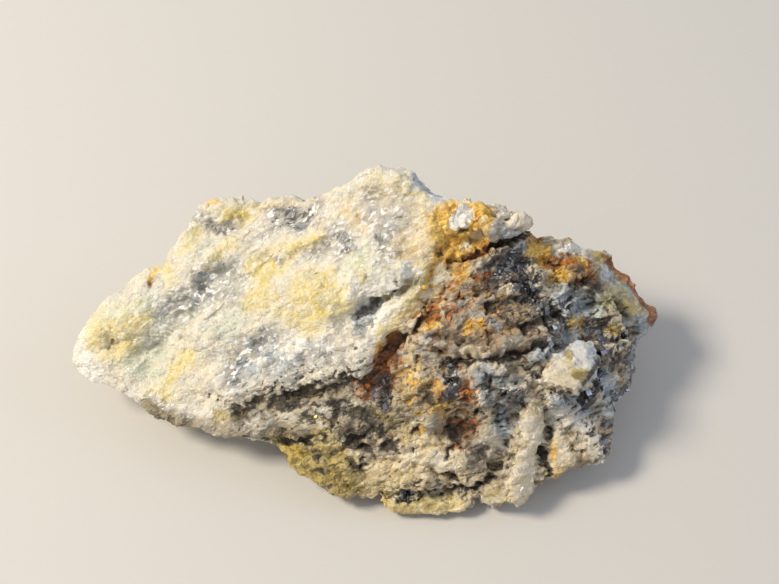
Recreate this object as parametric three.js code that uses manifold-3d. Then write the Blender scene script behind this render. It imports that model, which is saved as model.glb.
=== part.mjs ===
// A hand specimen of galena ore: one broken lump of pale calcite and quartz rock, veined with grey
// galena and stained with iron. It is a single natural piece, so it is one solid.
//
// Millimetres, +Z up. +X runs along the lump towards its rusty end, and -Y is the broken front.
// The lump stands on a small flat of its underside at Z = 0, and is centred on X = 0, Y = 0.

import * as THREE from "three";
import { ConvexHull } from "three/addons/math/ConvexHull.js";
import { ConvexGeometry } from "three/addons/geometries/ConvexGeometry.js";
import { ImprovedNoise } from "three/addons/math/ImprovedNoise.js";
import { TessellateModifier } from "three/addons/modifiers/TessellateModifier.js";
import { mergeVertices } from "three/addons/utils/BufferGeometryUtils.js";
import Module from "manifold-3d";

const wasm = await Module();
wasm.setup();

// ---- Driving dimensions ----

const HEART = [1, 0, 13]; // a point inside the lump that sees every landmark
const REACH = [45, 22, 16]; // half the length, depth and height, used to even the landmarks out
const FACET = 3.1; // longest edge of the roughened skin
const LEDGE_FACET = 2.7; // and of the smaller pieces fused to it
const LEDGE_RELIEF = 0.8; // share of the body's relief that those carry
const SOFTEN = 0.45; // share of the way that a vertex goes to the middle of its neighbours
const GRAINS = 52; // angular grains fused to the rough side
const GRAIN = [1.3, 2.6]; // their smallest and largest radius
const WELD = 1e-3; // vertices nearer than this are one vertex

// ---- Landmarks: where the broken faces meet, as [x, y, z] ----

// The skyline, from the blunt left end over the peak to the right tip.
const skyline = [
  [-45.1, 1, 10.2], [-44.6, 2.9, 12.2], [-43.4, 4.4, 13.8], [-41.1, 5.9, 14.3], [-39, 7.1, 15.2],
  [-36.9, 8.7, 16], [-34.8, 10.2, 16.8], [-32.7, 11.2, 17.2], [-30.9, 12, 17.5],
  [-30.3, 13.5, 18.8], [-29.6, 14.5, 19.5], [-27.9, 16.8, 20.7], [-27.2, 18.8, 21.6],
  [-25, 19.8, 22.4], [-23.9, 20.6, 23.2], [-20.8, 20.3, 23.7], [-19.5, 18.8, 23.4],
  [-15.5, 17.2, 23.1], [-9.8, 17.8, 25.8], [-6.8, 17.6, 26.8], [-5, 18.2, 28.5], [-2.8, 18.8, 30.3],
  [-1.3, 19, 31.5], [0.1, 19.2, 32.3], [3.4, 18.2, 32.1], [5.4, 17.4, 31], [6.9, 16.4, 30.4],
  [8.8, 15.2, 30.4], [10.1, 14, 30], [12.7, 14, 30.2], [16.8, 14, 29.2], [20, 14, 27.5],
  [24.5, 13.1, 25], [26.9, 12.7, 22.6], [28.2, 11.6, 20.8], [29.4, 12, 19.6], [31.2, 13, 20],
  [33.5, 13.8, 20], [35.8, 13.9, 19.2], [38.6, 14.5, 18.4], [41.6, 12, 16.1], [44.2, 8.9, 12.9],
  [45.6, 6.8, 11],
];

// The pale slab: the sloping face on the left, and the crest of the edge where it stops.
const paleFace = [
  [-38.5, 1.6, 12.5], [-34, -1.4, 11.3], [-29.4, 5.5, 17], [-25.7, 10.2, 19.5],
  [-20, -1.3, 16.5], [-22.3, -6.6, 11.5], [-16.5, 11, 22.3], [-9.6, 11, 24.6],
  [-15.5, 3.4, 20.3], [-8, 3, 23.2], [-2.2, 11.6, 28], [2.9, 11.4, 30.4], [-3, 6.7, 26],
  [4.4, 6.6, 28.4], [-0.6, -0.4, 23.5], [-9.4, -3.7, 18.2], [-2.8, -4.5, 20.5],
];
const slabEdge = [
  [2, -5.1, 21], [4.8, -3.2, 22.8], [7.2, -0.6, 25], [8.7, 3.3, 27], [9.6, 6.6, 28.5],
  [11.4, 10, 29.8],
];
// The foot of that edge, on the rusty side.
const slabFoot = [
  [4.4, -7.4, 17.4], [7, -5.4, 19.2], [9.6, -2.8, 21], [11.2, 1, 23], [12.6, 4.6, 25],
];

// The dark band under the slab, and the shelf below it.
const darkBand = [
  [-32.4, -6, 9], [-20, -9.2, 9.7], [-13.3, -8.1, 12.8], [-5, -7.9, 15.2], [-0.4, -7.1, 18.5],
];
const shelf = [
  [3, -10.4, 16], [-9.7, -12.1, 8.5], [-2.2, -13.2, 10.5], [5, -13.4, 13], [12.3, -12.8, 13.2],
  [19.7, -11.6, 12.5], [28.6, -11.4, 11], [35, -10, 8.5],
];

// The rusty right half: a rough top that leans to the right, and the front below it.
const roughTop = [
  [16.7, 8.2, 25.2], [22.8, 9.2, 23.2], [29, 8.7, 20.5], [36.1, 10.4, 18.6], [17, 1, 21.5],
  [25.5, 2, 19.8], [33.3, 1.5, 16.6], [39.5, 6.9, 16.4], [42.5, 4.6, 13.2], [13, -3.5, 20],
  [13.4, -8.4, 17.2], [20, -7.4, 16.6], [26.4, -6, 16], [32.5, -4.4, 15.2],
];
const front = [
  [-11.2, -14, 6.5], [-3.7, -15.3, 7.5], [3.7, -15.3, 9.5], [11, -16.4, 8], [16.8, -16, 8.4],
  [-2.2, -18.2, 5], [8, -19.3, 4.5], [16.9, -19.2, 5], [22, -17.2, 7], [28.7, -15.3, 7.5],
];

// The lower outline, from the right tip along the front to the left end.
const hem = [
  [44.5, 4.4, 10], [42.2, 0.8, 8], [40.2, -2.7, 7.5], [38.4, -6.8, 7], [37.4, -10.8, 6.5],
  [35.4, -15.6, 5.2], [30.6, -17.6, 5], [26.8, -19, 4.5], [22.9, -20.6, 3], [20, -21, 2.7],
  [15.5, -21, 2.5], [9.6, -21, 2], [3, -20.4, 2.5], [-2.5, -20.8, 3], [-4.7, -19.8, 3.5],
  [-10, -17.1, 4.5], [-14.6, -12.7, 6], [-18.7, -12.7, 7], [-22.4, -12.9, 7.4],
  [-25, -11.3, 7.3], [-30.6, -9.2, 6], [-34.4, -7.2, 6.8], [-39.4, -4.9, 7.2], [-42.9, -2.9, 8],
  [-44.6, -0.9, 8.5],
];

// The back, which falls steeply from the skyline, with a grey shoulder beside the peak.
const back = [
  [7.1, 19.8, 30], [8.9, 19, 29], [12.3, 16.8, 27.5], [-39, 8.6, 11], [-31, 14.5, 12],
  [-22, 21.5, 16], [-13, 20, 15], [-4, 21.5, 20], [4, 22, 19], [13, 19, 17], [22, 17, 18],
  [30, 15.5, 15], [38, 14, 12], [43, 9.5, 9], [-26, 16, 6], [-12, 18.5, 6], [3, 20, 8],
  [16, 16.5, 6], [29, 14, 6],
];

// The underside. The feet lie just under the floor, where the flat is cut.
const underside = [
  [-36, 1, 5], [-30, 7, 4.5], [-22, -4, 3.4], [36, 5, 4.2], [33, -8, 3.2], [-10, 14, 2.5],
  [8, 16, 2.2], [24, 10, 2.4], [-13, -9, 3],
];
const feet = [[-19, 3, -0.7], [-8, -9, -0.7], [16, -15, -0.8], [24, -4, -0.7], [12, 9, -0.6]];

// ---- Forms raised from the skin or sunk into it, each round a line between two points ----

const forms = [
  // on the pale slab
  { name: "left trough", from: [-20, 7.6, 20.2], to: [-28.6, 4.3, 16.6], width: 3, rise: -1.2 },
  { name: "left trough, lower", from: [-28.6, 4.3, 16.6], to: [-33, -0.4, 12.4], width: 3, rise: -1.2 },
  { name: "step by the left knob", from: [-25.5, 15.6, 20.8], to: [-20.4, 15.8, 22.2], width: 2.4, rise: -1.3 },
  { name: "yellow ridge", from: [-24.5, 12, 20.2], to: [-7, 11.2, 25.6], width: 2.6, rise: 0.9 },
  { name: "left bump", from: [-33, 10.8, 17], to: [-32.2, 11.3, 17.2], width: 2.4, rise: 0.4 },
  { name: "pit at the left end", from: [-38.3, 1.8, 12.6], to: [-38.1, 0.7, 12.2], width: 1.9, rise: -1.1 },
  { name: "left cheek", from: [-40.6, 0.6, 11.4], to: [-36, -2.2, 10.6], width: 3.4, rise: 0.9 },
  { name: "blue hollow", from: [-2.6, -2, 21.8], to: [0.8, 0.4, 24], width: 2.8, rise: -2.1 },
  { name: "notch under the white lump", from: [2.2, 1.6, 24.8], to: [5.4, 2.4, 25.8], width: 2.4, rise: -2 },
  { name: "white lump", from: [-1, 3.8, 25.4], to: [4, 5.4, 27.4], width: 3, rise: 1 },
  { name: "saddle of the peak", from: [-1, 15.4, 29.8], to: [6.6, 14.6, 31], width: 2.6, rise: -0.7 },
  { name: "silver fold", from: [-18, -3, 16], to: [-9, -2, 19.6], width: 3, rise: -0.8 },
  { name: "swell by the band", from: [-20, -6, 12.5], to: [-11, -5.4, 16], width: 3.2, rise: 0.9 },
  { name: "grey saddle", from: [-10, 16, 26], to: [-4, 9, 26.6], width: 3, rise: -0.8 },
  // along the edge of the slab
  { name: "rusty hole", from: [4.4, -5, 20.6], to: [2.2, -9.2, 16.8], width: 3, rise: -2.6 },
  { name: "blue pocket", from: [3.2, -10, 16.2], to: [3.6, -10.8, 15.4], width: 2.2, rise: -1.4 },
  { name: "ochre boss", from: [13.4, 12, 29.6], to: [15.2, 11.4, 29], width: 3.8, rise: 1.5 },
  // on the rusty half
  { name: "brown boss", from: [31.6, 9.6, 20], to: [33, 9.4, 19.6], width: 3.4, rise: 1.4 },
  { name: "white knuckle", from: [30.4, 13.2, 20.2], to: [33.4, 13.4, 19.6], width: 2, rise: 0.8 },
  { name: "pale boulder", from: [28.6, -6.6, 14.4], to: [33.6, -3.2, 14.8], width: 3.6, rise: 2 },
  { name: "blue valley", from: [28.4, -2.4, 17.6], to: [33.6, 4.2, 17.4], width: 3, rise: -1.6 },
  { name: "side crease", from: [35.2, -0.9, 15], to: [34.6, -6, 12.6], width: 2.2, rise: -1.4 },
  { name: "pale rib", from: [25.4, -10.7, 12.1], to: [21.6, -18.6, 5], width: 2.6, rise: 1.1 },
  { name: "grey hollow", from: [20.4, -11, 12.8], to: [19.6, -15.8, 8.6], width: 3.2, rise: -1.7 },
  { name: "brown hollow", from: [13, -12.6, 12.6], to: [14.6, -14.2, 11.2], width: 3, rise: -1.7 },
  { name: "front knuckle", from: [18.6, -19.4, 4.4], to: [21.4, -19.4, 4.2], width: 3, rise: 0.9 },
];

// ---- Cracks: thin wedges cut along a path on the skin ----

const cracks = [
  {
    name: "under the pale slab",
    path: [[-18.4, -12.2, 7.4], [-13.5, -12.6, 6.9], [-9.7, -13, 7.4], [-6, -13.6, 8.2],
      [-2.2, -14, 9.6], [1.6, -13.6, 11]],
    into: [0, 1, 0.25], width: 1.5, depth: 3.2,
  },
  {
    name: "above the lip",
    path: [[-1.4, -19.8, 3.2], [3.4, -20.4, 3.7], [8.1, -20.6, 3.9], [12.4, -20.3, 3.9],
      [16.2, -19.8, 3.8]],
    into: [0, 1, 0.15], width: 1.1, depth: 2.6,
  },
  {
    name: "under the knob",
    path: [[13.8, 7.2, 26.4], [17.4, 8.8, 26.2], [19.8, 10, 25.8], [22.3, 11.1, 25.2],
      [25.4, 11.8, 24.6]],
    into: [0, 1, 0.1], width: 1.4, depth: 2.8,
  },
];

// ---- Galena cubes half sunk in the skin: where they lie, and their edge ----

const cubes = [
  [37.1, 2.1, 14.5, 3], [38.8, 1, 12, 3.4], [36, -1.8, 13.3, 2.8], [40.2, 2.2, 12.1, 3],
  [38.1, 3.6, 15.2, 2.6], [36.6, 0.6, 12.6, 3.2], [34.6, -5, 14, 2.4], [38, -8.4, 8, 2.6],
  [21.9, 4.5, 23, 3], [23.4, 7, 23.4, 2.8], [20.3, 2.6, 23, 2.8], [24.4, 5, 22, 2.6],
  [-0.7, -0.4, 21.8, 2.8], [-15.2, -4.4, 15.2, 2.4], [-11.7, -3.6, 17.3, 3],
  [-9.4, -2.9, 18.6, 2.6], [3.1, -9, 14.6, 2.4], [20, 17, 20, 3.2], [22.4, 16, 17, 2.6],
  [-8, 20, 13, 3.2], [-30, 12, 10, 2.8], [8, -20, 5, 2.4],
];
const CUBE_SINK = 0.22; // share of its edge by which a cube's centre lies under the skin
const GRAIN_SINK = 0.42; // and a grain's centre, as a share of its radius

// ---- Skin ----

const noise = new ImprovedNoise();

// Fractal noise, about -1 to 1, whose coarsest lumps are `size` mm across.
function roughness([x, y, z], size, octaves) {
  let sum = 0;
  let weight = 1;
  for (let i = 0; i < octaves; i++) {
    const scale = 2 ** i / size;
    sum += weight * noise.noise(x * scale + 7.3 * i, y * scale - 3.1 * i, z * scale + 1.7);
    weight /= 2;
  }
  return sum;
}

// A number from 0 to 1 that depends only on a lattice cell and a channel.
function chance(i, j, k, channel) {
  const v = Math.sin(i * 127.1 + j * 311.7 + k * 74.7 + channel * 269.5) * 43758.5453;
  return v - Math.floor(v);
}

// Broken crystal faces: space is split into cells about `size` mm across, and each cell is a plane
// with its own lean and height, from about -1 to 1.
function cleavage(point, size) {
  const cell = point.map((v) => Math.floor(v / size));
  let nearest = Infinity;
  let height = 0;
  for (let a = -1; a <= 1; a++)
    for (let b = -1; b <= 1; b++)
      for (let c = -1; c <= 1; c++) {
        const id = [cell[0] + a, cell[1] + b, cell[2] + c];
        const away = id.map((v, n) => point[n] / size - v - chance(...id, n));
        const distance = Math.hypot(...away);
        if (distance >= nearest) continue;
        nearest = distance;
        const lean = away.map((v, n) => v * (2 * chance(...id, 3 + n) - 1));
        height = 1.2 * chance(...id, 6) - 0.6 + lean[0] + lean[1] + lean[2];
      }
  return height;
}

// 0 on the pale slab and 1 on the rough rusty side of its edge.
const EDGE_START = [2, -5.1];
const EDGE_RIGHT = [0.844, -0.536]; // unit vector in plan, square to the edge
function rustySide([x, y]) {
  const past = (x - EDGE_START[0]) * EDGE_RIGHT[0] + (y - EDGE_START[1]) * EDGE_RIGHT[1];
  return THREE.MathUtils.smoothstep(past, -1, 3);
}

const nearest = new THREE.Vector3();
const formLines = forms.map((form) => ({
  ...form,
  line: new THREE.Line3(new THREE.Vector3(...form.from), new THREE.Vector3(...form.to)),
}));

// How far the skin moves out at a point: lumps, broken faces and the named forms.
function relief(point) {
  const rough = rustySide(point);
  const lumps = (0.9 + 0.3 * rough) * roughness(point, 7.5, 2);
  const faces = (0.65 + 0.3 * rough) * cleavage(point, 5.2);
  let shaped = 0;
  for (const { line, width, rise } of formLines) {
    line.closestPointToPoint(new THREE.Vector3(...point), true, nearest);
    const share = nearest.distanceTo(new THREE.Vector3(...point)) / width;
    shaped += rise * (1 - THREE.MathUtils.smoothstep(share, 0.25, 1));
  }
  return lumps + faces + shaped;
}

// A closed polyhedron through the landmarks, with concave edges where they call for them. The
// landmarks' directions from the heart lie on a sphere, and their hull says which ones to join.
function bodyThrough(landmarks) {
  const placeOf = new Map();
  const directions = landmarks.map((p) => {
    const d = new THREE.Vector3(...p.map((v, i) => (v - HEART[i]) / REACH[i])).normalize();
    placeOf.set(d, p);
    return d;
  });
  const corners = [];
  for (const face of new ConvexHull().setFromPoints(directions).faces) {
    let edge = face.edge;
    do {
      corners.push(...placeOf.get(edge.head().point));
      edge = edge.next;
    } while (edge !== face.edge);
  }
  return new THREE.BufferGeometry().setAttribute(
    "position",
    new THREE.Float32BufferAttribute(corners, 3),
  );
}

// Rounds a closed surface's edges: each vertex goes a share of the way to its neighbours' middle.
function soften(skin, share) {
  const place = skin.getAttribute("position");
  const middles = Array.from({ length: place.count }, () => ({ sum: new THREE.Vector3(), count: 0 }));
  const point = new THREE.Vector3();
  skin.index.array.forEach((corner, i) => {
    const next = skin.index.array[i - (i % 3) + ((i + 1) % 3)];
    middles[corner].sum.add(point.fromBufferAttribute(place, next));
    middles[corner].count++;
  });
  middles.forEach(({ sum, count }, i) => {
    point.fromBufferAttribute(place, i).lerp(sum.divideScalar(count), share);
    place.setXYZ(i, ...point);
  });
}

// Splits a closed surface into facets and moves each vertex along its normal by `push(point)` mm.
function roughened(geometry, facet, push) {
  const fine = new TessellateModifier(facet, 12).modify(geometry);
  const skin = mergeVertices(bareOf(fine), WELD);
  soften(skin, SOFTEN);
  skin.computeVertexNormals();
  const place = skin.getAttribute("position");
  const normal = skin.getAttribute("normal");
  const point = new THREE.Vector3();
  const outward = new THREE.Vector3();
  for (let i = 0; i < place.count; i++) {
    point.fromBufferAttribute(place, i);
    outward.fromBufferAttribute(normal, i);
    point.addScaledVector(outward, push(point.toArray()));
    place.setXYZ(i, ...point);
  }
  skin.deleteAttribute("normal");
  return skin;
}

// ---- Solids ----

// A copy of a geometry that holds its vertices' places alone.
function bareOf(geometry) {
  const bare = geometry.clone();
  for (const name of ["normal", "uv"]) bare.deleteAttribute(name);
  return bare;
}

function solidOf(geometry) {
  const welded = mergeVertices(bareOf(geometry), WELD);
  return new wasm.Manifold(
    new wasm.Mesh({
      numProp: 3,
      vertProperties: new Float32Array(welded.getAttribute("position").array),
      triVerts: new Uint32Array(welded.index.array),
    }),
  );
}

function geometryOf(solid) {
  const mesh = solid.getMesh();
  return new THREE.BufferGeometry()
    .setAttribute("position", new THREE.BufferAttribute(mesh.vertProperties, 3))
    .setIndex(new THREE.BufferAttribute(mesh.triVerts, 1));
}

// A ledge: the hull of its rim and of the same rim sunk into the body and drawn in under itself.
function ledge({ rim, sink, tuck }) {
  const centre = rim.reduce((sum, p) => sum.add(new THREE.Vector3(...p)), new THREE.Vector3());
  centre.divideScalar(rim.length);
  const points = rim.map((p) => new THREE.Vector3(...p));
  for (const p of [...points]) {
    const inward = centre.clone().sub(p).setZ(0).setLength(tuck);
    points.push(p.clone().add(inward).setZ(p.z - sink));
  }
  return solidOf(roughened(new ConvexGeometry(points), LEDGE_FACET, (p) => LEDGE_RELIEF * relief(p)));
}

// A crack: a wedge for each stretch of its path, open outside the skin and sharp inside it.
const MOUTH = 3; // how far a wedge starts outside the skin
function crack({ path, into, width, depth }) {
  const inward = new THREE.Vector3(...into).normalize();
  const ends = path.map((p) => new THREE.Vector3(...p));
  const along = ends[ends.length - 1].clone().sub(ends[0]);
  const half = new THREE.Vector3().crossVectors(along, inward).setLength(width / 2);
  const stretches = [];
  for (let i = 1; i < ends.length; i++) {
    const points = [];
    for (const end of [ends[i - 1], ends[i]]) {
      const outside = end.clone().addScaledVector(inward, -MOUTH);
      points.push(outside.clone().add(half), outside.clone().sub(half));
      points.push(end.clone().addScaledVector(inward, depth));
    }
    stretches.push(solidOf(new ConvexGeometry(points)));
  }
  return stretches.reduce((all, one) => all.add(one));
}

// The point of the skin that lies from the heart towards `target`, and the way out of it.
function onSkin(skin, target) {
  const heart = new THREE.Vector3(...HEART);
  const outward = new THREE.Vector3(...target).sub(heart).normalize();
  const hits = new THREE.Raycaster(heart, outward).intersectObject(skin);
  return { point: hits[hits.length - 1].point, outward };
}

// A cube of galena, turned its own way and sunk in the skin by rather more than half.
function cube(skin, [x, y, z, edge], i) {
  const { point, outward } = onSkin(skin, [x, y, z]);
  const shape = new THREE.BoxGeometry(edge, edge * 0.85, edge * 0.7);
  const turn = [0, 1, 2].map((n) => Math.PI * chance(i, 1, 2, n));
  shape.applyMatrix4(new THREE.Matrix4().makeRotationFromEuler(new THREE.Euler(...turn)));
  const centre = point.addScaledVector(outward, -CUBE_SINK * edge);
  return solidOf(shape.translate(...centre));
}

// An angular grain, sunk in the rough side: a lopsided twenty-sided pebble.
function grain(skin, i) {
  const across = THREE.MathUtils.lerp(0.12, 0.92, chance(i, 3, 4, 0));
  const deep = THREE.MathUtils.lerp(-0.85, 0.45, chance(i, 3, 4, 1));
  const high = THREE.MathUtils.lerp(0.05, 0.9, chance(i, 3, 4, 2));
  const target = [across, deep, high].map((v, n) => HEART[n] + v * REACH[n]);
  const { point, outward } = onSkin(skin, target);
  const radius = THREE.MathUtils.lerp(...GRAIN, chance(i, 3, 4, 3));
  const centre = point.addScaledVector(outward, -GRAIN_SINK * radius);
  const pebble = mergeVertices(bareOf(new THREE.IcosahedronGeometry(radius, 0)), WELD);
  const corners = pebble.getAttribute("position");
  const points = [];
  for (let n = 0; n < corners.count; n++) {
    const corner = new THREE.Vector3().fromBufferAttribute(corners, n);
    points.push(corner.multiplyScalar(0.85 + 0.3 * chance(i, n, 5, 0)).add(centre));
  }
  return solidOf(new ConvexGeometry(points));
}

const landmarks = [
  ...skyline, ...paleFace, ...slabEdge, ...slabFoot, ...darkBand, ...shelf, ...roughTop,
  ...front, ...hem, ...back, ...underside, ...feet,
];
const ledges = [
  {
    name: "terrace",
    rim: [[10.8, -5.6, 19.8], [13.6, -7.5, 20.2], [17.2, -7.2, 20.9], [20.8, -7, 20.3],
      [24.4, -6.2, 19.6], [27.2, -3.8, 19.2], [28.8, 0, 19.2], [27, 4.5, 20.2], [20, 5, 21.8],
      [12.6, 2, 22.4]],
    sink: 6, tuck: 2,
  },
  {
    name: "knob on the skyline",
    rim: [[15.6, 10.4, 28.6], [20.4, 10.6, 27.9], [24.9, 12, 26.3], [25.2, 13.6, 26.6],
      [20.4, 14.8, 28.9], [16.4, 14.4, 30]],
    sink: 5, tuck: 1.2,
  },
  {
    name: "lip at the foot",
    rim: [[1.4, -20.6, 3.1], [5, -22.2, 2.8], [9.6, -22.6, 2.6], [13.6, -22.3, 2.8],
      [17.4, -21.2, 3], [17, -18, 4], [4, -17.6, 4]],
    sink: 2.2, tuck: 0.8,
  },
];

let rock = solidOf(roughened(bodyThrough(landmarks), FACET, relief));
for (const shelfOfRock of ledges) rock = rock.add(ledge(shelfOfRock));
for (const line of cracks) rock = rock.subtract(crack(line));
const bothSides = new THREE.MeshBasicMaterial({ side: THREE.DoubleSide }); // rays meet it from inside
const skin = new THREE.Mesh(geometryOf(rock), bothSides);
cubes.forEach((place, i) => {
  rock = rock.add(cube(skin, place, i));
});
for (let i = 0; i < GRAINS; i++) rock = rock.add(grain(skin, i));
rock = rock.trimByPlane([0, 0, 1], 0);

const shape = geometryOf(rock);
shape.computeBoundingBox();
const middle = shape.boundingBox.getCenter(new THREE.Vector3());
shape.translate(-middle.x, -middle.y, 0);

const stone = new THREE.MeshStandardMaterial({ color: 0xd8ccb0, roughness: 0.8, metalness: 0 });
const specimen = new THREE.Mesh(shape, stone);
specimen.name = "galena_specimen";

const group = new THREE.Group();
group.add(specimen);
export default group;
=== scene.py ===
# A hand specimen of galena ore: pale calcite and quartz rock with grey galena and iron stains.
#
# Metres, +Z up, in the frame of the imported model. The rock's solid is remeshed finely, its skin is
# broken up by a geometry tree, and calcite chips, galena crystals and pyrite specks are scattered
# on it. Forms, minerals, stains and painted shade are lines laid on the skin, and kept as its
# attributes.

import math

import bmesh
import bpy
import numpy as np
from mathutils import Euler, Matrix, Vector
from mathutils.bvhtree import BVHTree


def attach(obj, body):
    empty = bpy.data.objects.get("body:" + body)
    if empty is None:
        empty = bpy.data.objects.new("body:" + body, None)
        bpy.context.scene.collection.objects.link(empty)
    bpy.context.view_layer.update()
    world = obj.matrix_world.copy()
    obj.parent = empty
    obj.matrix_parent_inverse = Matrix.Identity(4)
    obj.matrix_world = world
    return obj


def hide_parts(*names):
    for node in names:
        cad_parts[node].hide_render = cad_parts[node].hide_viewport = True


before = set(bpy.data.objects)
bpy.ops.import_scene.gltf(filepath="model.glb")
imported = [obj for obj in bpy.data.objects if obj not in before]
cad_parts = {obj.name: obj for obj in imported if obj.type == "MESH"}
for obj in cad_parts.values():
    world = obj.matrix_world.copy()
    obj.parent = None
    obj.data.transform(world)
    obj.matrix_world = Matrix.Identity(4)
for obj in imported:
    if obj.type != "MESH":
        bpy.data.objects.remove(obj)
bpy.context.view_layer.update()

MM = 0.001
ROCK = "galena_specimen"

# ---- Camera ----

VIEW = (779, 584)  # width and height of what the camera sees, in pixels
SENSOR = 36.0  # mm
LENS = 60.0  # mm
CAMERA_TILT = math.radians(55)  # how far it looks down
CAMERA_DISTANCE = 200 * MM
LOOKS_AT = Vector((3.3, 9.3, 14.0)) * MM

RIGHT = Vector((1, 0, 0))
FORWARD = Vector((0, math.cos(CAMERA_TILT), -math.sin(CAMERA_TILT)))
UP = RIGHT.cross(FORWARD)
EYE = LOOKS_AT - CAMERA_DISTANCE * FORWARD
FOCAL = LENS / SENSOR * VIEW[0]  # pixels
CLIP_START = 10 * MM


def through(pixel):
    """The direction in which the camera sees a pixel."""
    across = (pixel[0] - VIEW[0] / 2) / FOCAL
    above = (VIEW[1] / 2 - pixel[1]) / FOCAL
    return (FORWARD + across * RIGHT + above * UP).normalized()


def in_view(points):
    """The pixels at which the camera sees the points, as a row across and a row down."""
    away = points - np.array(EYE)
    depth = away @ np.array(FORWARD)
    across = VIEW[0] / 2 + FOCAL * (away @ np.array(RIGHT)) / depth
    down = VIEW[1] / 2 - FOCAL * (away @ np.array(UP)) / depth
    return across, down


def make_camera():
    """The camera that the tables of pixels are laid out for."""
    data = bpy.data.cameras.new("camera")
    data.sensor_width = SENSOR
    data.lens = LENS
    data.clip_start = CLIP_START
    camera = bpy.data.objects.new("camera", data)
    camera.location = EYE
    camera.rotation_mode = "QUATERNION"
    camera.rotation_quaternion = FORWARD.to_track_quat("-Z", "Y")
    bpy.context.scene.collection.objects.link(camera)
    bpy.context.scene.camera = camera


make_camera()

# ---- Where the minerals, stains and painted shade show ----
# Lines on the camera's view, in pixels, by mineral or colour: name: (points, half width in mm,
# strength). The edge of a patch lies about where half of it is left, and noise breaks it up.

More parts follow.
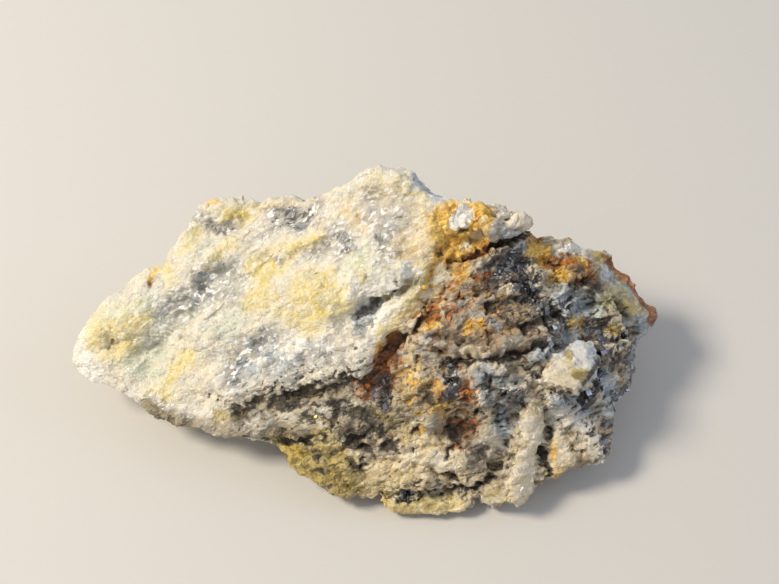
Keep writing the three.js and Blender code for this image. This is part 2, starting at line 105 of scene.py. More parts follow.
STAINS = {
    "yellow": {
        "by the left knob": ([(226, 215), (244, 217)], 1.2, 1.0),
        "under the step": ([(227, 243), (219, 257)], 1.3, 1.0),
        "spot by the trough": ([(212, 269), (211, 278)], 0.9, 1.0),
        "edge spot": ([(179, 249), (184, 251)], 0.9, 0.9),
        "left shoulder": ([(198, 232), (188, 246)], 1.4, 0.7),
        "over the left bump": ([(165, 270), (174, 284)], 1.5, 0.85),
        "left end": ([(96, 330), (120, 322), (142, 316)], 2.5, 1.0),
        "left end, lower": ([(108, 352), (132, 343)], 1.8, 0.9),
        "left hem": ([(164, 386), (180, 366), (190, 358)], 1.8, 0.9),
        "left hem, lower": ([(150, 392), (168, 396)], 1.4, 0.7),
        "yellow ridge": ([(280, 250), (300, 243), (320, 237)], 1.4, 0.95),
        "middle": ([(262, 285), (258, 268), (278, 262)], 2.2, 0.95),
        "middle, left": ([(250, 303), (266, 298)], 1.7, 0.95),
        "middle, right": ([(300, 290), (322, 284), (332, 292)], 2.4, 1.0),
        "middle, low": ([(306, 322), (322, 306), (340, 304)], 2.4, 0.9),
        "middle, lowest": ([(290, 316), (276, 312)], 1.6, 0.7),
        "near the white lump": ([(358, 266), (362, 276)], 1.3, 0.8),
        "upper middle": ([(290, 262), (296, 254)], 1.2, 0.8),
        "crest": ([(380, 182), (402, 186), (418, 196)], 1.7, 0.6),
        "slab edge": ([(424, 268), (421, 290), (404, 314), (384, 332)], 1.2, 0.85),
        "lower block": ([(286, 450), (298, 462), (316, 474)], 1.4, 0.7),
        "lip": ([(384, 506), (420, 510), (452, 508)], 1.9, 1.1),
        "knuckle": ([(490, 502), (508, 498)], 1.5, 0.6),
        "boulder": ([(567, 362), (568, 364)], 1.0, 0.9),
        "boulder, low": ([(580, 371), (574, 378)], 0.9, 0.9),
    },
    "tan": {
        "over the white edge": ([(396, 250), (412, 244), (424, 252)], 2.4, 1.0),
        "peak's right": ([(420, 214), (428, 232)], 2.0, 0.8),
        "peak's middle": ([(345, 205), (366, 222)], 2.2, 0.8),
        "low front": ([(340, 470), (372, 478), (410, 470), (440, 462)], 3.4, 0.85),
        "lower block": ([(300, 466), (330, 482)], 2.2, 0.7),
        "lip": ([(388, 510), (452, 512)], 1.4, 0.9),
        "plate by the edge": ([(440, 276), (452, 278)], 1.2, 0.9),
        "front ledge": ([(408, 446), (452, 452), (466, 470)], 2.4, 0.8),
        "rib": ([(516, 486), (504, 500)], 1.5, 0.8),
        "right front": ([(570, 442), (584, 450)], 1.8, 0.6),
        "right front, low": ([(545, 474), (572, 464)], 2.0, 0.8),
        "boulder": ([(560, 384), (568, 376)], 1.2, 0.6),
        "right of the terrace": ([(538, 286), (545, 296)], 1.4, 0.8),
        "galena's edge": ([(522, 290), (512, 288)], 1.0, 0.9),
        "peak": ([(372, 190), (392, 202), (408, 210)], 2.4, 0.7),
        "left of the boss": ([(424, 212), (428, 232), (426, 250)], 1.9, 1.0),
    },
    "grey": {
        "saddle": ([(276, 212), (294, 222), (316, 212)], 2.7, 1.0),
        "saddle, left": ([(262, 236), (274, 228)], 1.3, 0.8),
        "under the saddle": ([(334, 232), (348, 244), (340, 250)], 1.9, 1.0),
        "peak's grey": ([(374, 218), (386, 232), (384, 250)], 1.7, 1.0),
        "peak's grey, low": ([(374, 260), (384, 264)], 0.8, 0.8),
        "below the ridge": ([(308, 258), (328, 248)], 1.4, 0.8),
        "step shade": ([(214, 226), (224, 232), (234, 228)], 1.1, 1.0),
        "left knob": ([(196, 216), (206, 222)], 1.4, 0.9),
        # partly painted shade in the trough, partly its grey-green colour
        "trough": ([(228, 282), (204, 289), (186, 306)], 3.6, 1.0),
        "trough, lower": ([(180, 312), (168, 326), (158, 338)], 1.8, 0.7),
        "silver patch": ([(232, 376), (248, 352), (272, 342)], 2.2, 1.1),
        "silver patch, right": ([(276, 362), (304, 352), (330, 352)], 2.2, 0.9),
        "below the silver": ([(268, 384), (300, 372)], 1.4, 0.7),
        "spots": ([(266, 258), (280, 258)], 0.8, 0.9),
        "hollow's rim": ([(352, 330), (366, 336)], 1.2, 0.8),
        "terrace": ([(462, 300), (476, 312), (500, 330)], 3.0, 0.85),
        "terrace, low": ([(432, 330), (428, 352), (436, 372)], 2.2, 0.75),
        "front": ([(470, 440), (480, 452), (486, 470)], 2.6, 0.8),
        "knob": ([(500, 222), (494, 236)], 1.2, 0.6),
        "peak": ([(366, 200), (384, 204), (398, 214)], 2.8, 0.7),
        "slab's tongue": ([(350, 368), (362, 378)], 1.6, 0.7),
    },
    "white": {
        "left edge": ([(86, 336), (84, 356), (92, 372)], 2.2, 1.0),
        "edge by the tan": ([(388, 240), (390, 256), (404, 264)], 1.0, 1.0),
        "white lump": ([(360, 284), (376, 281), (390, 271), (402, 266)], 2.4, 1.6),
        "under the hollow": ([(380, 318), (392, 306)], 2.0, 1.1),
        "hem": ([(150, 402), (190, 416), (224, 430), (256, 430)], 1.9, 0.9),
        # painted highlight: the white glint on the ochre boss
        "glint": ([(455, 225), (460, 218), (465, 213)], 0.95, 1.5),
        "knuckle on the skyline": ([(562, 250), (574, 246), (586, 248)], 1.2, 1.0),
        "knob": ([(496, 214), (512, 218), (522, 220)], 1.6, 0.8),
        # partly painted sparkle over the silver patch
        "silver": ([(280, 356), (300, 342), (310, 350)], 2.2, 0.9),
        "trough's rim": ([(150, 300), (180, 292)], 1.4, 0.7),
        "crest of the slab": ([(250, 214), (266, 212)], 1.4, 0.7),
        "boulder": ([(566, 352), (584, 348), (592, 362), (584, 376)], 2.2, 1.0),
        "right front": ([(566, 412), (584, 418), (594, 436)], 2.2, 0.85),
        "left of the boulder": ([(536, 372), (546, 384)], 1.4, 0.6),
        "front grains": ([(456, 462), (462, 466)], 0.9, 0.9),
        "crystals": ([(608, 342), (618, 336), (630, 336)], 1.2, 0.9),
    },
    "blue": {
        "hollow": ([(360, 322), (368, 314), (374, 308)], 1.5, 1.2),
        "valley": ([(556, 322), (566, 302), (584, 306)], 2.4, 1.2),
        "valley, low": ([(540, 352), (556, 342), (566, 330)], 1.6, 1.0),
        "right shoulder": ([(602, 258), (604, 276), (614, 274)], 1.1, 1.0),
        "right crest": ([(628, 284), (634, 296)], 1.0, 1.0),
        "right tip": ([(628, 326), (644, 328)], 1.1, 1.0),
        "boulder": ([(574, 340), (588, 350), (596, 366), (588, 380)], 1.5, 0.9),
        "front": ([(484, 376), (500, 392), (512, 412)], 2.4, 0.85),
        "front, low": ([(500, 420), (496, 442)], 2.0, 0.95),
        "pocket": ([(384, 388), (386, 396)], 1.0, 1.0),
        "right side": ([(602, 380), (612, 396), (608, 408)], 1.8, 1.1),
        "right front": ([(556, 404), (576, 400), (590, 410)], 1.6, 0.8),
        "right side, low": ([(598, 440), (600, 456)], 1.6, 0.7),
        "terrace speck": ([(492, 320), (496, 322)], 0.8, 0.9),
        "by the knob": ([(492, 228), (506, 232), (524, 246)], 1.2, 0.7),
        # painted shade: the bluish grey on the spur stands in for its shade
        "spur": ([(416, 180), (430, 188), (442, 198)], 1.3, 1.0),
        "silver": ([(250, 372), (264, 352), (290, 354), (276, 374)], 1.4, 0.7),
        "valley, right": ([(586, 316), (598, 308)], 1.5, 1.0),
        "crest": ([(604, 262), (608, 276), (620, 286), (634, 296)], 1.2, 1.0),
        "right end": ([(626, 320), (640, 326), (636, 334)], 1.6, 1.1),
        "crystals": ([(612, 330), (624, 342), (634, 338)], 1.4, 0.9),
    },
    "mint": {
        "trough": ([(226, 284), (200, 300), (176, 318), (156, 344)], 3.2, 0.9),
        "left end": ([(112, 318), (136, 306), (150, 300)], 2.0, 0.7),
        "left hem": ([(130, 366), (150, 372)], 2.4, 0.8),
        "middle": ([(216, 330), (236, 316)], 2.4, 0.7),
        "below the step": ([(196, 250), (214, 244)], 1.6, 0.7),
        "by the white lump": ([(352, 262), (372, 258), (396, 262)], 2.4, 0.8),
        "right crest": ([(596, 252), (612, 262)], 1.4, 0.9),
        "right end": ([(632, 314), (646, 322)], 1.4, 0.7),
    },
    "slate": {
        "hollow": ([(355, 316), (362, 308), (372, 300)], 0.9, 0.9),
        "pocket": ([(382, 384), (385, 398)], 1.1, 1.0),
        "pocket, right": ([(450, 372), (453, 384)], 0.9, 0.8),
        "core": ([(498, 262), (512, 268), (526, 278)], 2.4, 0.45),
        "core, low": ([(528, 288), (540, 304), (550, 322)], 1.6, 0.55),
        "silver": ([(234, 380), (244, 362)], 0.9, 0.8),
        "top": ([(284, 208), (294, 216), (302, 226)], 1.3, 0.6),
        "under the ridge": ([(340, 236), (352, 246)], 1.2, 0.5),
        "peak": ([(378, 232), (386, 246)], 1.2, 0.5),
        "crystals": ([(606, 334), (630, 340)], 1.4, 0.5),
        "crease": ([(600, 352), (598, 372), (590, 394)], 1.2, 0.9),
        "front": ([(486, 382), (502, 400), (508, 420)], 2.0, 0.8),
        "silver, middle": ([(250, 346), (264, 338)], 0.9, 0.7),
        "silver, low": ([(262, 374), (276, 364)], 0.6, 0.7),
        "silver, right": ([(286, 366), (302, 358)], 0.7, 0.6),
        # painted shade in the trough
        "trough": ([(200, 282), (204, 292), (190, 304)], 1.3, 0.65),
        "right half": ([(606, 294), (620, 304)], 1.1, 0.5),
    },
    "olive": {
        "left pit": ([(112, 340), (114, 344)], 0.5, 0.9),
        "yellow-green": ([(100, 342), (126, 336)], 0.9, 0.35),
        "peak": ([(366, 192), (384, 194), (402, 198)], 1.1, 0.6),
        "under the left hem": ([(144, 412), (164, 420), (186, 426)], 1.6, 1.0),
        "right half": ([(606, 300), (618, 292), (628, 310)], 2.2, 1.0),
        "right half, upper": ([(580, 286), (596, 284)], 1.6, 0.9),
        "right shoulder": ([(594, 252), (600, 262)], 1.2, 0.8),
        "between": ([(570, 322), (590, 326)], 1.4, 0.8),
        "ridge": ([(536, 248), (546, 258)], 1.8, 0.9),
        "under the lip": ([(400, 500), (440, 500)], 1.0, 0.7),
        "lower block": ([(288, 452), (312, 468), (332, 484)], 2.4, 0.95),
        "notch": ([(390, 296), (400, 290), (408, 283)], 1.1, 0.9),
    },
    "brown": {
        "terrace": ([(446, 336), (470, 330), (496, 344)], 3.0, 0.85),
        "terrace, upper": ([(466, 286), (484, 290), (496, 306)], 2.2, 0.8),
        "terrace, right": ([(508, 312), (530, 326), (550, 324)], 2.8, 0.95),
        "lip's shade": ([(448, 364), (470, 358), (500, 360), (524, 356)], 1.0, 0.9),
        "under the boss": ([(462, 256), (480, 250), (498, 246)], 1.5, 0.9),
        "right boss": ([(556, 262), (572, 272), (590, 276)], 2.0, 1.0),
        "right crest": ([(602, 262), (616, 274)], 1.8, 0.6),
        "right ridge": ([(534, 240), (548, 256), (556, 268)], 1.5, 0.9),
        "hollow": ([(450, 424), (468, 432), (478, 424)], 1.8, 1.0),
        "left of the hollow": ([(414, 400), (430, 404)], 1.8, 0.7),
        "low": ([(444, 470), (452, 482)], 1.6, 0.6),
        "right end": ([(604, 330), (616, 334), (630, 336)], 1.8, 0.9),
        "below the terrace": ([(420, 388), (440, 396), (462, 404)], 2.2, 0.6),
        "right boss, low": ([(562, 280), (578, 282), (594, 280)], 1.2, 0.9),
        "core": ([(494, 272), (504, 262), (516, 268)], 2.2, 0.9),
    },
    # painted shade: dull dark brown-grey on the band, hems and undersides, which face down and away
    # from the light; partly the band's own dull colour
    "drab_and_underside_shade": {
        "band": ([(240, 416), (280, 402), (330, 394), (366, 384)], 2.6, 1.0),
        "band, low": ([(262, 436), (310, 428), (360, 424), (392, 410)], 3.0, 0.9),
        "left hem": ([(146, 410), (180, 424), (214, 432), (250, 436)], 1.9, 1.0),
        "lower block": ([(284, 452), (300, 470), (324, 488)], 2.2, 0.7),
        "under the block": ([(300, 482), (330, 496), (352, 500)], 1.6, 0.9),
        "middle": ([(380, 408), (410, 410), (440, 404)], 2.2, 0.7),
        "front": ([(440, 424), (470, 440), (490, 470)], 2.6, 0.8),
        "right hem": ([(530, 486), (560, 478), (592, 462)], 1.4, 0.8),
        "lip's foot": ([(400, 516), (440, 516)], 0.9, 0.8),
        "right boss": ([(566, 262), (580, 274), (592, 270)], 1.8, 1.0),
        "hollow front": ([(488, 380), (504, 400), (516, 416)], 2.0, 0.6),
    },
    "ochre": {
        "wash over the terrace": ([(440, 286), (474, 300), (504, 328)], 5.0, 0.39),
        "wash under the slab": ([(398, 372), (426, 384), (450, 404)], 4.2, 0.56),
        "wash by the edge": ([(414, 322), (436, 300), (462, 270)], 2.6, 0.62),
        "boss, left": ([(445, 246), (444, 224), (452, 210)], 1.9, 1.2),
        "boss, low": ([(444, 254), (456, 242), (472, 240)], 2.0, 1.2),
        "boss, right": ([(477, 230), (485, 216), (476, 205)], 1.7, 1.2),
        "below the boss": ([(446, 262), (450, 252)], 1.4, 0.9),
        "slab's edge": ([(436, 256), (430, 272), (426, 290)], 0.9, 0.9),
        "slab's edge, low": ([(420, 304), (404, 320), (388, 336), (378, 348)], 1.0, 0.9),
        "front of the slab": ([(424, 324), (430, 320)], 1.1, 1.0),
        "grains": ([(408, 376), (414, 382)], 1.1, 0.8),
        "grains, right": ([(434, 380), (442, 384)], 0.9, 0.75),
        "ridge": ([(538, 246), (546, 258), (552, 268)], 1.6, 0.9),
        "right boss": ([(568, 264), (580, 258), (588, 270)], 1.3, 0.65),
        "between the bosses": ([(558, 270), (566, 276)], 1.2, 0.9),
        "left knob": ([(208, 204), (220, 202)], 0.7, 1.0),
        "left bump": ([(148, 278), (154, 270)], 0.6, 1.0),
        "terrace": ([(470, 326), (480, 320)], 1.0, 0.8),
        "rib": ([(556, 440), (560, 448)], 0.9, 0.7),
        "low front": ([(420, 430), (428, 420)], 1.0, 0.6),
        "right end": ([(612, 332), (620, 338)], 0.8, 0.7),
        "saddle's edge": ([(312, 238), (318, 236)], 0.6, 0.9),
        "hole's grain": ([(426, 318), (431, 324)], 1.1, 1.2),
        "wedge": ([(555, 446), (557, 454)], 0.8, 1.1),
        "rib's top": ([(535, 410), (539, 414)], 0.8, 0.8),
        "block": ([(290, 448), (296, 452)], 1.0, 1.0),
        "valley": ([(572, 325), (580, 324)], 0.8, 0.8),
        "bottom edge": ([(552, 478), (568, 472)], 0.8, 0.8),
        "ridge, upper": ([(532, 237), (541, 246), (548, 256)], 1.3, 0.8),
        "hole's foot": ([(370, 378), (374, 384)], 0.7, 0.9),
    },
    "rust": {
        "wash over the terrace": ([(426, 318), (462, 296), (486, 318)], 4.5, 0.41),
        "wash under the slab": ([(440, 372), (452, 396), (466, 424)], 4.0, 0.4),
        "hole": ([(398, 342), (388, 354), (380, 366), (374, 380)], 2.1, 1.4),
        "hole's edge": ([(404, 336), (416, 324), (432, 312)], 1.2, 1.0),
        "edge, upper": ([(440, 300), (448, 290), (460, 284)], 0.9, 0.7),
        "under the knob": ([(466, 258), (482, 250), (500, 244)], 1.0, 0.9),
        "right of the knob": ([(532, 232), (540, 238)], 1.0, 1.0),
        "by the galena": ([(482, 276), (492, 278)], 1.0, 0.9),
        "terrace": ([(448, 312), (456, 306)], 0.9, 0.8),
        "terrace, low": ([(446, 362), (456, 364)], 0.8, 1.0),
        "patch": ([(456, 392), (464, 386), (466, 396)], 1.3, 1.0),
        "patch, left": ([(438, 392), (446, 396)], 0.9, 0.7),
        "hollow": ([(460, 424), (474, 424)], 1.1, 0.9),
        "ridge": ([(550, 268), (558, 262)], 1.0, 0.8),
        "right boss": ([(590, 262), (592, 274)], 0.8, 0.9),
        "low": ([(456, 446), (464, 452)], 0.9, 0.7),
        "left bump": ([(146, 281), (147, 282)], 0.4, 1.0),
        "hole's right": ([(400, 352), (394, 366), (388, 376)], 1.2, 1.0),
        "right boss, wash": ([(566, 258), (584, 272)], 2.0, 0.7),
        "hole, wash": ([(396, 350), (384, 372)], 2.8, 0.62),
    },
    "cream": {
        "rib": ([(537, 414), (536, 440), (530, 466), (520, 492)], 1.9, 1.25),
        "knuckle": ([(488, 498), (498, 496)], 1.4, 0.8),
        "boulder": ([(552, 380), (560, 366), (570, 380)], 1.7, 0.85),
        "right wedge": ([(592, 446), (597, 454)], 1.0, 0.9),
        "patch on the right": ([(594, 396), (602, 402)], 1.1, 0.8),
        "wedge": ([(555, 430), (562, 448), (567, 458)], 1.2, 0.9),
        "pink block": ([(489, 432), (492, 446)], 1.2, 0.9),
        "cream ledge": ([(404, 458), (430, 458), (460, 460)], 1.5, 0.9),
        "plate by the edge": ([(438, 270), (444, 280)], 1.3, 0.9),
        "lens": ([(286, 422), (306, 420), (322, 424)], 1.6, 0.8),
        "knob": ([(514, 218), (524, 222)], 1.2, 0.9),
        "under the boss": ([(462, 246), (478, 236), (484, 222)], 0.8, 0.8),
        "galena's edge": ([(512, 288), (519, 289)], 0.9, 0.8),
        "slab's edge": ([(430, 296), (416, 310), (402, 322)], 1.2, 0.7),
        "beside the core": ([(534, 276), (540, 284)], 1.0, 0.8),
        "olive wedge": ([(612, 358), (624, 348), (634, 342)], 0.9, 0.7),
        "low front": ([(352, 474), (384, 480), (420, 474), (446, 464)], 2.6, 0.65),
    },
    "mustard": {
        "bottom lip": ([(388, 506), (420, 506), (450, 507)], 1.0, 0.55),
        "lower block": ([(286, 448), (296, 460), (314, 472)], 3.0, 1.0),
        "lower block, right": ([(318, 450), (336, 466), (344, 484)], 3.0, 0.95),
        "low front": ([(360, 480), (384, 484), (410, 478)], 2.4, 0.6),
        "left hem": ([(216, 416), (236, 414)], 1.0, 0.7),
        "lens's rim": ([(284, 436), (306, 438), (330, 430)], 0.7, 0.8),
        "low middle": ([(364, 412), (384, 420), (410, 436)], 1.8, 0.5),
        "knuckle": ([(484, 496), (496, 492)], 1.0, 0.7),
        "boulder": ([(569, 352), (570, 353)], 0.7, 1.2),
        "boulder, low": ([(583, 371), (578, 376)], 0.8, 1.2),
        "right half": ([(606, 302), (618, 306), (630, 312)], 1.2, 0.6),
        "right shoulder": ([(592, 250), (602, 258)], 1.2, 0.8),
        "crystals": ([(614, 328), (620, 330)], 0.6, 1.0),
        "olive wedge": ([(616, 354), (630, 344)], 0.8, 0.8),
    },
    "brick": {
        "right facet": ([(606, 256), (620, 272), (632, 286), (645, 303)], 0.9, 1.2),
        "right tip": ([(642, 300), (650, 308), (654, 318)], 1.4, 1.2),
        "right of the knob": ([(530, 230), (540, 236)], 0.9, 1.0),
    },
    # painted shadow: near-black in the cracks, pits and rusty hole and under the lips and knob
    # stands in for their shade; the spots on the band are dark grains
    "crack_shade_and_dark_spots": {
        "crack under the knob": ([(492, 246), (504, 240), (518, 236), (528, 232)], 0.6, 1.2),
        "crack under the knob, left": ([(462, 256), (478, 251), (492, 246)], 0.4, 0.9),
        "boss's crevice": ([(460, 236), (466, 232)], 0.35, 1.1),
        "crack under the lip": (
            [(452, 360), (468, 362), (486, 362), (504, 358), (524, 352)],
            0.6, 1.1,
        ),
        "rusty hole": ([(396, 340), (384, 350), (374, 362)], 0.35, 1.0),
        "rusty hole, low": ([(390, 366), (384, 374)], 0.3, 0.8),
        "rusty crack": ([(402, 341), (412, 328), (420, 318)], 0.5, 1.1),
        "edge's crack": ([(428, 270), (436, 258), (440, 250)], 0.35, 0.9),
        "dark wedge under the slab": ([(288, 397), (306, 395), (326, 393), (346, 390)], 0.5, 0.95),
        "dark wedge, upper": ([(294, 393), (308, 387), (320, 380)], 0.5, 0.85),
        "band's left": ([(242, 408), (256, 402)], 0.5, 0.9),
        "band's spots": ([(280, 408), (288, 402), (298, 402)], 0.8, 1.2),
        "band's spots, right": ([(332, 400), (334, 412), (331, 424)], 0.6, 1.1),
        "lens's spots": ([(306, 414), (315, 418)], 0.5, 1.0),
        "big spot": ([(350, 440), (358, 438), (366, 444)], 1.0, 1.3),
        "big spot, right": ([(384, 442), (392, 444)], 0.9, 1.3),
        "spots at the end": ([(362, 410), (372, 424), (380, 432)], 0.8, 1.0),
        "under the lens": ([(278, 438), (292, 440), (306, 439)], 0.6, 1.2),
        "block's spots": ([(314, 457), (318, 460)], 0.6, 1.2),
        "block's spots, right": ([(350, 466), (354, 472)], 0.7, 1.1),
        "block's spots, low": ([(322, 474), (334, 470)], 0.5, 1.0),
        "slab's spot": ([(339, 378), (343, 374)], 0.6, 1.1),
        "slab's spots": ([(352, 372), (355, 386)], 0.6, 1.0),
        "dark pit": ([(452, 424), (454, 434), (456, 440)], 0.9, 0.85),
        "pit by the ledge": ([(450, 448), (446, 454)], 0.5, 1.1),
        "front spots": ([(424, 394), (430, 402)], 1.0, 1.0),
        "pocket": ([(452, 388), (450, 396)], 0.9, 1.2),
        "black hole": ([(502, 397), (506, 394)], 0.6, 1.4),
        "blue pit": ([(477, 410), (480, 412)], 0.6, 1.0),
        "pit above the lip": ([(454, 479), (459, 476)], 0.5, 1.2),
        "gold pit": ([(414, 486), (422, 480), (418, 494)], 0.7, 0.9),
        "lower crack": ([(460, 490), (476, 486), (490, 480)], 0.6, 1.1),
        "grey crack": ([(486, 465), (500, 465), (512, 459)], 0.4, 1.0),
        "between the ribs": ([(543, 452), (548, 466), (548, 476)], 0.7, 1.0),
        "valley crack": ([(608, 320), (597, 325), (585, 340)], 0.7, 1.2),
        "valley crack, left": ([(588, 328), (578, 338), (568, 345)], 0.4, 1.0),
        "valley pit": ([(555, 318), (560, 315)], 0.7, 1.3),
        "valley pit, left": ([(524, 328), (532, 327)], 0.9, 1.2),
        "boulder's crack": ([(597, 350), (596, 366), (584, 384)], 0.7, 1.2),
        "crystal pit": ([(621, 338), (628, 334)], 0.6, 1.2),
        "crystal pit, low": ([(612, 366), (618, 358)], 0.7, 1.2),
        "core": ([(502, 274), (510, 260), (522, 266), (526, 280)], 1.3, 0.9),
        "right boss": ([(572, 286), (590, 286), (600, 290)], 1.0, 0.9),
        "hollow on the slab": ([(355, 318), (362, 308), (376, 299)], 0.4, 1.0),
        "slab's notch": ([(396, 290), (397, 284)], 0.4, 0.9),
        "front crack": ([(410, 436), (416, 430)], 0.5, 0.8),
        "left spot": ([(389, 444), (392, 440)], 0.7, 1.0),
        "hollow front": ([(490, 386), (500, 402)], 0.9, 0.6),
    },
    # partly painted highlights: the pure white glint on the ochre boss and the sparkles in the
    # silver patch stand in for flashes of light; the rest is white quartz
    "quartz": {
        "silver, streak": ([(270, 372), (276, 364)], 0.4, 1.0),
        "silver, left": ([(252, 362), (262, 356)], 0.6, 0.7),
        "glint": ([(455, 224), (460, 218), (465, 213)], 0.95, 1.5),
        "knuckle on the skyline": ([(562, 249), (574, 245), (585, 247)], 0.9, 0.9),
        "silver": ([(288, 348), (304, 340)], 0.9, 1.1),
        "slab's crest": ([(388, 256), (392, 262)], 0.7, 0.8),
        "silver, low": ([(280, 358), (292, 353)], 0.5, 1.0),
        "silver, right": ([(298, 362), (308, 352)], 0.5, 1.0),
        "crystals": ([(610, 336), (618, 340), (628, 334)], 0.5, 0.9),
    },
    "galena": {
        "core": ([(500, 272), (512, 266), (524, 276)], 1.7, 0.85),
        "core, low": ([(520, 284), (530, 292), (536, 304)], 1.2, 0.9),
        "core, upper": ([(506, 258), (516, 256)], 1.1, 0.9),
        "streak": ([(536, 300), (546, 312), (552, 326)], 1.1, 0.9),
        "streak, right": ([(572, 300), (562, 322), (556, 336)], 0.6, 0.8),
        "hollow": ([(356, 324), (362, 312), (372, 304)], 1.1, 0.6),
        "hollow, right": ([(364, 324), (374, 322)], 0.8, 0.9),
        "pocket": ([(382, 384), (384, 398)], 1.0, 1.0),
        "pocket, right": ([(452, 368), (454, 378), (452, 392)], 0.8, 1.0),
        "crystals": ([(604, 326), (612, 338), (622, 336), (634, 344)], 1.6, 0.35),
        "crystals, low": ([(604, 344), (612, 354), (628, 356)], 1.2, 0.8),
        "right crease": ([(602, 350), (600, 372), (590, 396)], 1.1, 0.9),
        "right hem": ([(614, 398), (610, 428), (604, 450)], 1.0, 0.7),
        "silver, low": ([(232, 380), (244, 366)], 0.9, 0.4),
        "saddle": ([(282, 208), (292, 212), (300, 220)], 1.3, 0.5),
        "saddle, low": ([(292, 226), (304, 232)], 0.9, 0.5),
        "under the saddle": ([(340, 236), (350, 246)], 0.9, 0.5),
        "peak's grey": ([(378, 236), (386, 250)], 0.8, 0.45),
        "trough": ([(194, 280), (200, 290)], 0.8, 0.6),
        "step": ([(218, 232), (228, 228)], 0.7, 0.55),
        "valley": ([(588, 330), (598, 334)], 1.0, 0.9),
        "front": ([(514, 396), (520, 400)], 0.8, 0.9),
        "low front": ([(404, 494), (412, 492)], 0.9, 1.0),
        "low front, right": ([(470, 490), (462, 486)], 0.8, 0.8),
        "terrace, right": ([(540, 346), (556, 338)], 0.9, 0.9),
        "left dot": ([(141, 288), (141.5, 288)], 0.3, 1.0),
        "middle dot": ([(225, 264), (226, 262)], 0.35, 0.9),
    },
    "pyrite": {
        "gold pit": ([(411, 491), (412, 492)], 0.5, 1.3),
        "crystals": ([(604, 353), (606, 352)], 0.4, 1.3),
        "band": ([(300, 410), (330, 424), (352, 430)], 0.9, 0.7),
        "right": ([(588, 420), (596, 430)], 0.5, 0.9),
    },
    # partly dark grains, partly painted shade in the pits between grains
    "specks": {
        "band": ([(240, 412), (280, 394), (330, 388), (362, 376)], 2.4, 1.0),
        "band, low": ([(300, 410), (340, 408), (372, 420)], 2.8, 1.0),
        "band, end": ([(268, 436), (300, 438), (340, 440), (372, 436)], 1.6, 1.0),
        "below": ([(330, 456), (360, 460), (400, 440)], 2.4, 0.7),
        "upper": ([(360, 350), (366, 366)], 1.6, 0.9),
        "middle": ([(284, 378), (320, 366)], 1.6, 0.6),
        "front": ([(480, 396), (500, 400), (530, 380)], 3.0, 0.8),
        "right": ([(560, 400), (590, 410), (590, 440)], 2.8, 0.75),
        "terrace": ([(496, 308), (530, 320), (556, 312)], 3.2, 0.95),
        "right end": ([(600, 300), (616, 316), (636, 336)], 2.5, 0.78),
        "low front": ([(396, 486), (430, 486), (470, 480)], 2.0, 0.7),
        "left hem": ([(206, 396), (224, 408)], 1.0, 0.5),
        "saddle": ([(280, 216), (310, 214)], 2.2, 0.6),
        "slab's tongue": ([(350, 374), (360, 386), (368, 376)], 1.6, 0.9),
        "mid front": ([(412, 374), (440, 396), (466, 412)], 2.8, 0.72),
        "right boss": ([(566, 262), (580, 270), (590, 276)], 1.8, 0.62),
    },
}

